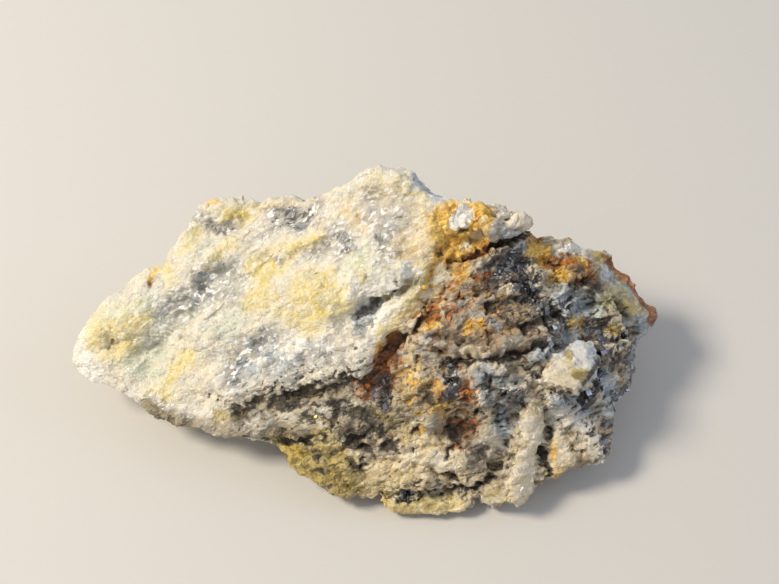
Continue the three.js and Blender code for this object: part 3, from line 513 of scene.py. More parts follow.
# The same for the sides that the camera doesn't see: points in mm, snapped to the skin.
HIDDEN_STAINS = {
    "yellow": {
        "back, left": ([(-34, 12, 13), (-22, 21, 18)], 3.6, 0.8),
        "back, low": ([(-6, 21, 12), (6, 20, 9)], 3.0, 0.7),
        "underside": ([(-34, 0, 5), (-26, 6, 4)], 4.0, 0.7),
        "underside, front": ([(6, -16, 1), (-6, -14, 2)], 3.0, 0.6),
        "back, high": ([(-20, 18, 22), (-14, 20, 19)], 1.8, 0.9),
        "belly": ([(-34, 8, 7), (-28, 11, 6)], 2.0, 0.9),
    },
    "tan": {
        "back": ([(12, 19, 18), (24, 17, 14)], 4.0, 0.8),
        "right": ([(40, -4, 5), (36, -12, 4)], 2.6, 0.8),
        "belly": ([(-30, 10, 5), (-10, 16, 5), (8, 16, 4)], 3.6, 0.8),
        "underside": ([(-20, -4, 1), (0, -6, 1), (16, -4, 1)], 5.0, 0.8),
        "back, top": ([(-16, 19, 24), (-6, 21, 26)], 2.6, 0.7),
    },
    "mint": {
        "back": ([(-26, 19, 17), (-12, 22, 15)], 3.4, 0.8),
        "belly": ([(-6, 17, 6), (10, 16, 6)], 2.6, 0.8),
    },
    "slate": {
        "back": ([(-4, 21, 15), (8, 20, 16)], 2.4, 0.7),
        "right": ([(42, -2, 7), (43, 2, 8)], 2.0, 0.7),
    },
    "grey": {
        "back": ([(-14, 21, 18), (-2, 22, 22)], 4.0, 0.9),
        "left": ([(-40, 4, 8), (-36, 10, 12)], 2.4, 0.8),
        "belly": ([(4, 15, 3), (18, 12, 3)], 3.0, 0.9),
    },
    "white": {
        "back": ([(-28, 17, 12), (-16, 20, 9)], 3.0, 0.9),
        "back, top": ([(0, 20, 28), (8, 19, 27)], 2.4, 0.8),
    },
    "blue": {
        "back": ([(2, 21, 24), (12, 18, 24)], 3.0, 1.0),
        "right": ([(44, 4, 9), (42, -1, 8)], 2.4, 0.9),
    },
    "olive": {
        "underside": ([(-20, -9, 4), (-6, -13, 3)], 3.0, 0.8),
        "back": ([(32, 15, 10), (38, 13, 8)], 2.6, 0.8),
    },
    # painted shade on the underside, belly and lower back, partly dull colour
    "drab_and_underside_shade": {
        "underside": ([(-10, -10, 1), (10, -12, 1), (26, -8, 2)], 4.0, 0.9),
        "belly": ([(-24, 14, 3), (0, 15, 2), (22, 11, 3)], 2.6, 0.9),
        "back": ([(-20, 18, 10), (-4, 20, 9)], 2.0, 0.7),
        "left": ([(-40, 3, 5), (-32, 8, 4)], 2.0, 0.8),
    },
    "brown": {
        "back": ([(26, 16, 18), (34, 15, 15)], 3.4, 0.9),
        "right": ([(38, -10, 4), (32, -14, 3)], 2.6, 0.8),
    },
    "ochre": {
        "back": ([(14, 18, 24), (20, 17, 22)], 2.2, 0.9),
        "right": ([(42, 9, 10), (40, 12, 9)], 2.0, 0.8),
        "back ledge": ([(-4, 21, 12), (4, 20, 12)], 1.2, 0.9),
        "back, low": ([(24, 14, 8), (32, 11, 6)], 2.2, 0.7),
    },
    # painted shadow: near-black in the hidden cracks and under the back ledge stands in for their
    # shade
    "crack_shade_and_dark_spots": {
        "under the back ledge": (
            [(-28, 14, 7.5), (-12, 20, 10), (8, 20, 11), (24, 16, 9)],
            0.9, 0.9,
        ),
        "back crack": ([(-8, 20, 27), (-4, 21, 20), (-11, 21, 14), (-6, 20, 6)], 0.5, 0.9),
        "back crack, right": ([(14, 19, 25), (18, 18, 18), (26, 15, 12)], 0.5, 0.9),
        "belly crack": ([(-20, 12, 2), (0, 13, 1), (12, 8, 1)], 0.6, 0.8),
        "left crack": ([(-40, 6, 6), (-32, 11, 7), (-24, 13, 8)], 0.5, 0.8),
    },
    "cream": {
        "back ledge": ([(-26, 15, 11), (-12, 20, 13.5), (4, 20, 14.5)], 1.4, 0.9),
        "belly": ([(-14, 16, 3), (2, 16, 3)], 2.0, 0.8),
    },
    "rust": {
        "back ledge": ([(12, 19, 12), (22, 16, 11)], 1.4, 0.8),
        "back": ([(26, 16, 14), (34, 15, 12), (40, 11, 8)], 2.4, 1.0),
        "back, streak": ([(8, 20, 14), (14, 19, 10)], 1.8, 0.8),
    },
    "galena": {
        "back vein": ([(-10, 20, 16), (0, 21, 15), (10, 20, 16), (20, 17, 18)], 1.8, 1.0),
        "back, left": ([(-30, 13, 10), (-26, 15, 9)], 1.8, 0.9),
        "right": ([(40, -6, 6), (41, -1, 7)], 1.8, 0.9),
        "underside": ([(20, 8, 2), (30, 4, 3)], 2.4, 0.8),
    },
    "specks": {
        "back": ([(-20, 20, 14), (0, 21, 12), (20, 17, 12), (36, 13, 10)], 4.0, 0.66),
        "belly": ([(-16, 15, 5), (6, 15, 4), (26, 10, 5)], 3.0, 0.6),
    },
}

# ---- Where the skin rises and sinks ----
# Lines on the camera's view, in pixels: name: (points, half width in mm, height in mm). They are
# the ridges, lumps, grooves and cracks too small for the solid.

FORMS = {
    "right crest": ([(612, 262), (622, 272), (634, 286), (644, 298)], 2.2, -0.7),
    "left scarp": ([(158, 336), (164, 322), (182, 306), (200, 294)], 1.3, 0.4),
    "left scarp, foot": ([(166, 340), (172, 328), (190, 312), (206, 300)], 0.9, -0.4),
    "left scarp, lower": ([(136, 354), (150, 352), (158, 344)], 0.8, -0.25),
    "core": ([(504, 262), (520, 262), (528, 272)], 1.8, -0.7),
    "dark wedge under the slab": ([(285, 397), (306, 394), (324, 392), (345, 391)], 0.7, -0.8),
    "dark wedge, upper": ([(292, 394), (306, 387), (320, 380)], 0.6, -0.6),
    "under the lens": ([(278, 437), (292, 440), (306, 439)], 0.8, -0.9),
    "black hole": ([(503, 396), (505, 395)], 0.5, -1.0),
    "blue pit": ([(477, 410), (479, 412)], 0.6, -0.8),
    "pit by the ledge": ([(450, 448), (446, 454)], 0.6, -0.7),
    "pit on the band": ([(352, 438), (360, 444)], 0.9, -0.8),
    "pit on the band, right": ([(386, 442), (391, 444)], 0.7, -0.8),
    "gold pit": ([(411, 490), (422, 486)], 0.8, -0.7),
    "pit above the lip": ([(455, 478), (458, 477)], 0.6, -0.6),
    "lower crack": ([(478, 486), (486, 483), (494, 480)], 0.6, -0.7),
    "lower pit": ([(462, 490), (474, 494)], 0.9, -0.6),
    "grey crack": ([(486, 466), (500, 466), (512, 460)], 0.5, -0.6),
    "between the ribs": ([(544, 450), (549, 468), (545, 478)], 0.8, -0.8),
    "valley crack": ([(608, 319), (597, 324), (586, 340)], 0.6, -0.8),
    "valley crack, left": ([(590, 326), (580, 337), (570, 344)], 0.5, -0.7),
    "valley pit": ([(556, 317), (560, 315)], 0.6, -0.8),
    "valley pit, left": ([(524, 328), (532, 327)], 0.7, -0.8),
    "crystal pit": ([(621, 337), (628, 333)], 0.7, -0.7),
    "slab pit": ([(340, 376), (342, 374)], 0.5, -0.5),
    "slab notch": ([(352, 378), (358, 388)], 0.5, -0.5),
    "rusty crack": ([(402, 340), (413, 327), (424, 314), (436, 302)], 0.7, -0.9),
    "dark hollow's wall": ([(450, 420), (452, 434), (455, 444)], 0.9, -0.5),
    "lip of the slab": ([(236, 403), (265, 393), (300, 381), (335, 373), (356, 366)], 1.6, 0.1),
    "groove under the slab": (
        [(240, 415), (270, 405), (305, 394), (340, 386), (368, 380)],
        1.3, -0.9,
    ),
    "crack under the shelf": ([(258, 443), (300, 450), (340, 453), (366, 446)], 0.8, -0.7),
    "hollow on the slab": ([(358, 322), (364, 312), (372, 302)], 1.9, -0.75),
    "notch under the lump": ([(380, 300), (393, 296), (405, 287)], 0.7, -0.6),
    "yellow ridge": ([(280, 251), (300, 244), (322, 236)], 1.2, 0.5),
    "step below the ridge": ([(284, 261), (304, 254), (326, 246)], 1.1, -0.4),
    "middle lump": ([(262, 270), (276, 264)], 2.0, 0.4),
    "middle lump, right": ([(306, 290), (328, 290)], 2.2, 0.4),
    "left ridge": ([(228, 240), (212, 262), (196, 275), (180, 289)], 1.5, 0.4),
    "left knob": ([(206, 208), (222, 206), (234, 212)], 1.6, 0.6),
    "step under the left knob": ([(214, 224), (228, 228), (240, 224)], 1.1, -0.7),
    "left pit": ([(110, 342), (115, 340)], 0.6, -0.45),
    "left end's lump": ([(100, 330), (124, 324)], 2.2, 0.5),
    "crest": ([(366, 180), (388, 176), (404, 184)], 2.0, 0.25),
    "saddle": ([(280, 222), (300, 216), (318, 210)], 2.0, -0.5),
    "crack under the knob": (
        [(450, 262), (470, 252), (492, 247), (512, 240), (531, 229)],
        0.75, -1.4,
    ),
    "ledge under the crack": ([(462, 266), (484, 258), (500, 252)], 0.9, 0.4),
    "lip of the terrace": ([(446, 345), (470, 349), (500, 346), (525, 339), (540, 329)], 1.2, 0.6),
    "crack under the lip": (
        [(438, 350), (452, 358), (476, 361), (500, 359), (524, 353), (541, 343)],
        1.0, -1.3,
    ),
    "core's crease": ([(524, 282), (538, 296), (548, 312), (552, 330)], 1.0, -1.0),
    "left of the boulder": ([(550, 350), (548, 370), (554, 392), (570, 402)], 1.0, -0.7),
    "right of the boulder": ([(600, 350), (602, 366), (596, 384), (584, 398)], 0.9, -1.1),
    "left of the rib": ([(520, 398), (508, 430), (500, 456), (493, 480)], 1.5, -0.8),
    "right of the rib": ([(556, 408), (548, 436), (538, 462)], 0.9, -0.8),
    "left of the knuckle": ([(478, 488), (480, 502)], 0.7, -0.9),
    "rusty hole": ([(399, 342), (388, 356), (378, 370), (373, 380)], 1.5, -0.45),
    "below the boss": ([(558, 280), (572, 284), (588, 280)], 0.9, -0.8),
    "between the bosses": ([(556, 258), (560, 270)], 0.8, -0.6),
    "below the ochre boss": ([(438, 250), (452, 244), (470, 240)], 0.9, -0.7),
    "valley": ([(548, 322), (562, 308), (584, 304)], 1.8, -0.8),
    "below the front ledge": ([(410, 466), (436, 468), (458, 482)], 1.0, -0.8),
    "above the front ledge": ([(396, 424), (420, 428), (444, 434)], 1.2, -0.7),
    "above the bottom lip": ([(386, 495), (412, 498), (440, 496), (462, 490)], 0.9, -0.9),
    "dark hollow": ([(456, 428), (466, 430), (476, 424)], 1.5, -0.7),
    "crystals' nest": ([(606, 334), (620, 340), (634, 336)], 1.6, -0.8),
    "below the crest": ([(596, 282), (612, 296), (624, 314)], 1.2, -0.7),
    "glint's right edge": ([(471, 226), (473, 218), (473, 212)], 2.0, 0.8),
    "glint's left edge": ([(450, 230), (450, 220), (454, 212)], 2.2, -0.9),
    "trough": ([(228, 280), (206, 290), (186, 310), (160, 338)], 2.6, -0.65),
    "white lump's brow": ([(372, 294), (388, 290), (397, 283), (403, 275)], 1.8, 0.5),
}

# The same for the sides that the camera doesn't see: points in mm, snapped to the skin.
HIDDEN_FORMS = {
    "back ledge": ([(-30, 14, 10), (-12, 20, 13), (8, 20, 14), (24, 16, 12)], 1.6, 0.8),
    "under the back ledge": ([(-28, 14, 7.5), (-12, 20, 10), (8, 20, 11), (24, 16, 9)], 1.3, -1.0),
    "back crack": ([(-8, 20, 27), (-4, 21, 20), (-11, 21, 14), (-6, 20, 6)], 0.7, -1.0),
    "back crack, right": ([(14, 19, 25), (18, 18, 18), (26, 15, 12)], 0.7, -0.9),
    "back step": ([(-26, 17, 19), (-12, 20, 21), (0, 20, 27)], 1.4, 0.7),
    "back hollow": ([(4, 20, 21), (10, 19, 18)], 2.6, -1.1),
    "belly ridge": ([(-24, 13, 4), (-4, 17, 3), (20, 12, 4)], 1.8, 0.7),
    "belly crack": ([(-20, 12, 2), (0, 13, 1), (12, 8, 1)], 0.9, -0.9),
    "left ledge": ([(-43, 2, 8), (-37, 9, 9), (-30, 14, 12)], 1.2, 0.6),
    "left crack": ([(-40, 6, 6), (-32, 11, 7), (-24, 13, 8)], 0.8, -0.8),
    "underside groove": ([(-34, 0, 3), (-16, -4, 1), (6, 2, 1)], 1.8, -0.9),
    "underside groove, right": ([(10, -8, 1), (24, -2, 1), (34, 4, 3)], 1.6, -0.9),
}

# Old, even breaks, where the skin is calm: name: (points, half width in mm, strength).
EVEN_BREAKS = {
    "right crest": ([(604, 254), (618, 268), (632, 284), (645, 301), (654, 317)], 3.0, 1.7),
}

# ---- Blocks ----
# Convex outlines on the camera's view, in pixels, of grains and plates that stand out with broken
# edges: name: (corners, height in mm, how much calmer they are than the skin around them).

BLOCKS = {
    "boulder": (
        [(543, 384), (547, 368), (558, 352), (572, 345), (585, 340), (597, 348), (598, 364),
         (583, 385), (573, 393), (556, 391)],
        0.45, 0.75,
    ),
    "boulder's face": (
        [(545, 382), (549, 369), (560, 354), (573, 352), (580, 366), (582, 383), (570, 390),
         (556, 389)],
        0.12, 0.85,
    ),
    "rib": ([(531, 407), (545, 409), (542, 455), (535, 480), (522, 500), (508, 497)], 0.5, 0.6),
    "knuckle": (
        [(480, 492), (490, 486), (503, 490), (507, 500), (497, 508), (484, 505)],
        0.45, 0.7,
    ),
    "wedge": ([(550, 420), (560, 424), (572, 448), (573, 461), (562, 463), (552, 450)], 0.35, 0.5),
    "right wedge": ([(588, 438), (599, 440), (602, 455), (590, 463), (581, 458)], 0.25, 0.5),
    "cream patch": ([(588, 390), (604, 390), (609, 403), (596, 408), (585, 402)], 0.25, 0.5),
    "knob, left": (
        [(487, 214), (500, 210), (510, 216), (511, 230), (498, 240), (486, 244), (483, 228)],
        0.35, 0.5,
    ),
    "knob, right": (
        [(508, 217), (517, 211), (528, 214), (530, 226), (522, 234), (511, 231)],
        0.5, 0.6,
    ),
    "grey plate": (
        [(430, 407), (445, 405), (448, 415), (446, 432), (436, 434), (428, 420)],
        0.25, 0.8,
    ),
    "pink block": (
        [(484, 424), (497, 420), (503, 430), (500, 450), (490, 457), (482, 444)],
        0.4, 0.6,
    ),
    "cream ledge": (
        [(398, 453), (430, 450), (462, 452), (468, 460), (462, 469), (430, 469), (400, 466)],
        0.3, 0.4,
    ),
    "lens": (
        [(276, 419), (292, 409), (318, 408), (331, 420), (326, 432), (302, 437), (281, 431)],
        0.25, 0.7,
    ),
    "bottom lip": (
        [(385, 503), (412, 499), (440, 500), (454, 505), (448, 512), (410, 513), (391, 510)],
        0.3, 0.6,
    ),
    "plate by the edge": (
        [(431, 268), (446, 264), (454, 274), (450, 286), (438, 288), (430, 280)],
        0.2, 0.8,
    ),
    "grain by the hole": (
        [(401, 349), (408, 344), (416, 350), (414, 362), (406, 366), (400, 360)],
        0.3, 0.6,
    ),
    "blue-grey grain": ([(417, 342), (429, 335), (434, 344), (428, 355), (419, 354)], 0.3, 0.6),
    "upright grain": ([(439, 319), (446, 313), (449, 331), (443, 338), (438, 330)], 0.3, 0.5),
    "upright grain, right": (
        [(449, 317), (454, 315), (457, 329), (451, 338), (447, 329)],
        0.3, 0.5,
    ),
    "grain at the lip": ([(445, 346), (457, 342), (463, 351), (457, 361), (447, 360)], 0.35, 0.6),
    "grain at the lip, middle": (
        [(466, 337), (476, 333), (483, 342), (478, 353), (467, 353)],
        0.3, 0.5,
    ),
    "grain at the lip, right": (
        [(489, 335), (501, 330), (509, 339), (502, 350), (490, 349)],
        0.3, 0.5,
    ),
    "upper grain": (
        [(455, 279), (466, 274), (477, 282), (474, 296), (461, 300), (453, 290)],
        0.25, 0.5,
    ),
    "yellow grain": ([(509, 283), (519, 284), (523, 292), (516, 298), (507, 291)], 0.35, 0.6),
    "middle grain": ([(470, 304), (482, 300), (489, 309), (483, 320), (471, 318)], 0.25, 0.5),
    "middle grain, right": (
        [(500, 306), (513, 302), (520, 311), (513, 321), (501, 319)],
        0.25, 0.5,
    ),
    "right boss": (
        [(565, 256), (578, 252), (590, 258), (593, 270), (584, 280), (569, 280), (561, 270)],
        0.35, 0.5,
    ),
    "right boss, top": ([(573, 261), (582, 258), (588, 266), (584, 274), (575, 273)], 0.17, 0.5),
    "white knuckle": ([(559, 249), (570, 243), (581, 246), (579, 253), (566, 256)], 0.25, 0.6),
    "white lump": (
        [(355, 285), (362, 277), (388, 268), (404, 266), (404, 277), (394, 290), (378, 293),
         (361, 293)],
        0.25, 0.3,
    ),
    "ochre boss": (
        [(441, 220), (450, 208), (468, 206), (478, 212), (476, 226), (462, 236), (446, 236)],
        0.3, 0.3,
    ),
    "olive wedge": (
        [(606, 363), (613, 352), (628, 340), (637, 336), (636, 346), (622, 358), (611, 368)],
        0.3, 0.4,
    ),
    "lower block": (
        [(284, 446), (318, 443), (342, 446), (340, 466), (326, 476), (304, 466)],
        0.2, 0.2,
    ),
    "right facet": (
        [(610, 257), (640, 287), (655, 310), (656, 318), (648, 316), (630, 294), (612, 270)],
        0.1, 0.8,
    ),
    "glint": (
        [(449, 217), (455, 209), (467, 206), (473, 212), (470, 223), (459, 230), (451, 227)],
        0.3, 0.5,
    ),
}

# ---- Helpers ----

MATH = "ShaderNodeMath"
VECTOR_MATH = "ShaderNodeVectorMath"
MIX = "ShaderNodeMixRGB"
MAP_RANGE = "ShaderNodeMapRange"
NOISE = "ShaderNodeTexNoise"
VORONOI = "ShaderNodeTexVoronoi"
NAMED = "GeometryNodeInputNamedAttribute"
SOFT = {"interpolation_type": "SMOOTHSTEP"}


def linear(hex_colour):
    """An sRGB hex value as a linear colour with alpha."""
    channels = [int(hex_colour[i : i + 2], 16) / 255 for i in (1, 3, 5)]
    return [c / 12.92 if c <= 0.04045 else ((c + 0.055) / 1.055) ** 2.4 for c in channels] + [1.0]


def add(tree, kind, *inputs, **settings):
    """Adds a node and gives its first output, or the node itself if it has none. Its inputs are
    given in order, or by name in a dict, and each is a value, a hex colour or a socket to link."""
    node = tree.nodes.new(kind)
    for name, value in settings.items():
        setattr(node, name, value)
    by_name = inputs[0] if inputs and isinstance(inputs[0], dict) else dict(enumerate(inputs))
    for key, value in by_name.items():
        if isinstance(value, bpy.types.NodeSocket):
            tree.links.new(value, node.inputs[key])
        elif isinstance(value, str) and value.startswith("#"):
            node.inputs[key].default_value = linear(value)
        else:
            node.inputs[key].default_value = value
    return node.outputs[0] if node.outputs else node


def link_to_scene(obj):
    """Puts an object into the scene."""
    bpy.context.scene.collection.objects.link(obj)
    return obj


def baked(obj, name):
    """The object's evaluated mesh as a plain mesh object, in place of the one with modifiers."""
    depsgraph = bpy.context.evaluated_depsgraph_get()
    mesh = bpy.data.meshes.new_from_object(
        obj.evaluated_get(depsgraph), preserve_all_data_layers=True, depsgraph=depsgraph
    )
    bpy.data.objects.remove(obj)
    mesh.name = name
    return link_to_scene(bpy.data.objects.new(name, mesh))


def vertex_places(mesh):
    """The mesh's vertices as rows of an array."""
    places = np.empty(len(mesh.vertices) * 3, np.float32)
    mesh.vertices.foreach_get("co", places)
    return places.reshape(-1, 3)


def vertex_normals(mesh):
    """Which way the mesh faces at its vertices, as rows of an array."""
    normals = np.empty(len(mesh.vertices) * 3, np.float32)
    mesh.vertices.foreach_get("normal", normals)
    return normals.reshape(-1, 3)


def write_attribute(mesh, name, values):
    """Keeps a number for each of the mesh's vertices."""
    layer = mesh.attributes.new(name, "FLOAT", "POINT")
    layer.data.foreach_set("value", np.ascontiguousarray(values, np.float32))


# ---- The rock's fine skin ----

WELD = 0.001 * MM  # the solid's vertices nearer than this are one
VOXEL = 0.23 * MM  # edge of the fine skin's faces
ROUNDING = 18  # smoothing passes that round the solid's facets
MORE_ROUNDING = 40  # and more, to tell which way the skin faces at large
ROUNDING_PACE = 0.5  # how far each pass moves a vertex towards its neighbours
MOST_FACES = 190_000  # triangles that the rock keeps
FOOT_DEPTH = 0.12 * MM  # skin lower than this belongs to the flat that the rock stands on
EDGE_START = Vector((1.7, -5.2)) * MM  # the line where the pale slab breaks off, in plan
EDGE_RIGHT = Vector((0.844, -0.536))  # unit vector in plan, square to that line
EDGE_BEFORE = 1  # mm before the line at which the rough side begins
EDGE_SPAN = 4  # mm over which it grows to its full


def smooth_solid():
    """A fine copy of the rock's solid with its facets rounded."""
    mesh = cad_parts[ROCK].data.copy()
    welded = bmesh.new()
    welded.from_mesh(mesh)
    bmesh.ops.remove_doubles(welded, verts=welded.verts, dist=WELD)
    welded.to_mesh(mesh)
    welded.free()
    mesh.materials.clear()
    body = link_to_scene(bpy.data.objects.new("skin", mesh))
    remesh = body.modifiers.new("fine", "REMESH")
    remesh.mode = "VOXEL"
    remesh.voxel_size = VOXEL
    soften = body.modifiers.new("soften", "SMOOTH")
    soften.factor = ROUNDING_PACE
    soften.iterations = ROUNDING
    return baked(body, "skin")


def write_outward(body):
    """Keeps which way the skin faces at large: the normals of a rounder copy of it."""
    rounder = link_to_scene(bpy.data.objects.new("rounder", body.data.copy()))
    soften = rounder.modifiers.new("soften", "SMOOTH")
    soften.factor = ROUNDING_PACE
    soften.iterations = MORE_ROUNDING
    rounder = baked(rounder, "rounder")
    layer = body.data.attributes.new("outward", "FLOAT_VECTOR", "POINT")
    layer.data.foreach_set("vector", vertex_normals(rounder.data).ravel())
    bpy.data.objects.remove(rounder)


def thinned(body):
    """The body with no more faces than the rock may keep, fewest where it is flat."""
    triangles = 2 * len(body.data.polygons)  # its faces have four corners
    thin = body.modifiers.new("thin", "DECIMATE")
    thin.ratio = min(1.0, MOST_FACES / triangles)
    return baked(body, body.name)


def keep_biggest_part(mesh):
    """Drops loose bits, such as a bubble closed up inside."""
    whole = bmesh.new()
    whole.from_mesh(mesh)
    unseen = set(whole.verts)
    parts = []
    while unseen:
        rim = {unseen.pop()}
        part = set(rim)
        while rim:
            rim = {edge.other_vert(vert) for vert in rim for edge in vert.link_edges} & unseen
            unseen -= rim
            part |= rim
        parts.append(part)
    parts.sort(key=len)
    loose = [vert for part in parts[:-1] for vert in part]
    bmesh.ops.delete(whole, geom=loose, context="VERTS")
    whole.to_mesh(mesh)
    whole.free()


CRUMPLES = ((6.0, 0.09), (3.0, 0.075), (1.6, 0.056), (0.9, 0.037))  # wavelength and reach, in mm
WAVES = 14  # how many of each
SPREAD = (0.6, 1.5)  # shortest and longest of them, as shares of the wavelength
CRUMPLE_SEED = 11


def crumpled(points):
    """The points moved about a little, so that lines laid near them come out broken."""
    chance = np.random.default_rng(CRUMPLE_SEED)
    moved = points.astype(np.float64)
    for wavelength, reach in CRUMPLES:
        for _ in range(WAVES):
            along = chance.normal(size=3)
            length = wavelength * MM * chance.uniform(*SPREAD)
            along *= 2 * math.pi / length / np.linalg.norm(along)
            wave = np.sin(points @ along + chance.uniform(0, 2 * math.pi))
            moved += wave[:, None] * chance.normal(size=3) * reach * MM
    return moved


def distance_to(line, points):
    """How far each point is from a line through some places, in mm."""
    best = np.full(len(points), np.inf)
    for start, end in zip(line, line[1:]):
        along = end - start
        share = np.clip((points - start) @ along / max(along @ along, 1e-12), 0, 1)
        best = np.minimum(best, np.linalg.norm(points - start - share[:, None] * along, axis=1))
    return best / MM


def seen_line(tree, places, path):
    """The places on the skin that the camera sees at these pixels; beside it, the nearest ones."""
    line = []
    for pixel in path:
        ray = through(pixel)
        place = tree.ray_cast(EYE, ray)[0]
        if place is None:
            away = places - np.array(EYE)
            missed = away - np.outer(away @ np.array(ray), ray)
            place = places[np.linalg.norm(missed, axis=1).argmin()]
        line.append(np.array(place))
    return line


def snapped_line(tree, path):
    """The places on the skin that are nearest to these places in mm."""
    return [np.array(tree.find_nearest(Vector(place) * MM)[0]) for place in path]


def stained(lines, points):
    """How strongly each point wears a stain: 1 on its lines, half at their edge, 0 at twice that."""
    worn = np.zeros(len(points))
    for line, half_width, strength in lines:
        fade = 1 - 0.5 * distance_to(line, points) / half_width
        worn = np.maximum(worn, strength * np.clip(fade, 0, 1))
    return worn


def tree_of(mesh):
    """A search tree over the mesh's faces."""
    places = [Vector(place) for place in vertex_places(mesh)]
    return BVHTree.FromPolygons(places, [tuple(face.vertices) for face in mesh.polygons])


def lines_on(tree, places, seen, hidden):
    """The lines of two tables, one of the seen side and one of the others, laid on the skin."""
    lines = [(seen_line(tree, places, path), *rest) for path, *rest in seen.values()]
    return lines + [(snapped_line(tree, path), *rest) for path, *rest in hidden.values()]


def write_stains(mesh, names):
    """Keeps each of these minerals and stains as an attribute of the mesh."""
    places = vertex_places(mesh)
    points = crumpled(places)
    tree = tree_of(mesh)
    for name in names:
        lines = lines_on(tree, places, STAINS[name], HIDDEN_STAINS.get(name, {}))
        write_attribute(mesh, name, stained(lines, points))


FORM_FOOT = 1.3  # half widths from a form's line to its foot
BLOCK_EDGE = 4.0  # pixels over which a block's edge rises
LEVELLED = 1.5  # mm, how far above or under its plane a block still levels the skin
TAKEN_OFF = 0.8  # share of what stands above that plane that is taken off
FILLED_UP = 0.4  # and of what lies under it that is filled up
EDGE_ON = 0.7  # how much of a block is left where the skin is seen edge-on
EDGE_ON_SPAN = 0.3  # and the span of cosines over which it fades there
AWAY = 0.35  # how far past edge-on, as a cosine, the skin counts as fully turned away
LOWEST = -1.7  # mm, as far as forms and blocks may sink the skin
HIGHEST = 1.6  # mm, and as far as they may raise it
MOST_CALM = 0.95  # how much of the relief an even break may take away


def inside_outline(corners, across, down):
    """How far inside a convex outline each pixel lies, in pixels."""
    corners = np.array(corners, float)
    inside = np.full(len(across), np.inf)
    for start, end in zip(corners, np.roll(corners, -1, axis=0)):
        edge = (end - start) / np.linalg.norm(end - start)
        inside = np.minimum(inside, edge[0] * (down - start[1]) - edge[1] * (across - start[0]))
    return inside


def facing_camera(mesh, places):
    """The cosine between the way that the skin faces at large and the way to the camera."""
    normals = np.empty(len(places) * 3, np.float32)
    mesh.attributes["outward"].data.foreach_get("vector", normals)
    to_eye = np.array(EYE) - places
    to_eye /= np.linalg.norm(to_eye, axis=1)[:, None]
    return (to_eye * normals.reshape(-1, 3)).sum(1)


def lay_blocks(places, points, facing, raised, calm):
    """Adds to `raised` and `calm` what the blocks do: each levels the skin inside its outline and
    lifts it by its height. The points are the places crumpled, which breaks up the outlines."""
    faces_camera = np.clip(facing / EDGE_ON_SPAN + EDGE_ON, 0, 1)
    across, down = in_view(points)
    for corners, height, calmness in BLOCKS.values():
        inside = inside_outline(corners, across, down)
        share = np.clip(inside / BLOCK_EDGE + 0.5, 0, 1) * faces_camera
        share = share**2 * (3 - 2 * share)
        top = places[inside * faces_camera > 0]
        middle = top.mean(0)
        flat = np.linalg.eigh(np.cov((top - middle).T))[1][:, 0]
        flat *= np.sign(flat @ (np.array(EYE) - middle))
        above = np.clip((places - middle) @ flat / MM, -LEVELLED, LEVELLED)
        raised += share * (height - np.where(above > 0, TAKEN_OFF, FILLED_UP) * above)
        np.maximum(calm, calmness * share, out=calm)


def write_forms(mesh):
    """Keeps how far the forms and blocks raise the skin, in mm, and how calm they keep it."""
    places = vertex_places(mesh)
    points = crumpled(places)
    tree = tree_of(mesh)
    raised = np.zeros(len(points))
    for line, half_width, height in lines_on(tree, places, FORMS, HIDDEN_FORMS):
        side = np.clip(1 - (distance_to(line, points) / half_width / FORM_FOOT) ** 2, 0, 1)
        raised += height * side**2
    facing = facing_camera(mesh, places)
    calm = np.zeros(len(points))
    lay_blocks(places, points, facing, raised, calm)
    even = stained(lines_on(tree, places, EVEN_BREAKS, {}), points)
    calm = np.maximum(calm, np.clip(even, 0, MOST_CALM))
    write_attribute(mesh, "forms", np.clip(raised, LOWEST, HIGHEST))
    write_attribute(mesh, "calm", calm)
    write_attribute(mesh, "turned away", np.clip(-facing / AWAY, 0, 1))


def write_rough_side(mesh):
    """Keeps how far each point is past the pale slab's edge, from 0 on the slab to 1."""
    past = (vertex_places(mesh)[:, :2] - np.array(EDGE_START)) @ np.array(EDGE_RIGHT) / MM
    write_attribute(mesh, "rough", np.clip((past + EDGE_BEFORE) / EDGE_SPAN, 0, 1))


# ---- Patterns, for the relief and for the materials ----

GRAIN_LIES = Euler((math.radians(35), 0, math.radians(31)))  # how the rock's elongated grains lie
GRAIN_STRETCH = 1.8  # and how much longer than wide they are
GRAIN_PUSH = 0.5 * MM  # how far noise pushes them about
PUSH_SIZE = 2.2 * MM  # and the size of that noise's lumps
FACE_LEAN = 2.4  # how steeply broken crystal faces lean
FACE_LEVEL = (0.6, -0.5, 0.7)  # how a face's lean tells its height
KNOB_FALL = -2.0  # how a grain's height changes with the squared distance from its middle
MIDDLE = (0.5, 0.5, 0.5)  # of a random colour's range


def along_grain(tree, place):
    """Positions in which the rock's elongated grains are round, a little crumpled."""
    turned = add(
        tree,
        "ShaderNodeVectorRotate",
        {"Vector": place, "Rotation": GRAIN_LIES},
        rotation_type="EULER_XYZ",
        invert=True,
    )
    straight = add(tree, VECTOR_MATH, turned, (GRAIN_STRETCH, 1, 1), operation="DIVIDE")
    crumple = add(tree, NOISE, {"Vector": place, "Scale": 1 / PUSH_SIZE, "Detail": 1.0})
    crumple = crumple.node.outputs["Color"]
    shift = add(tree, VECTOR_MATH, crumple, MIDDLE, operation="SUBTRACT")
    reach = (GRAIN_PUSH,) * 3
    return add(tree, VECTOR_MATH, shift, reach, straight, operation="MULTIPLY_ADD")


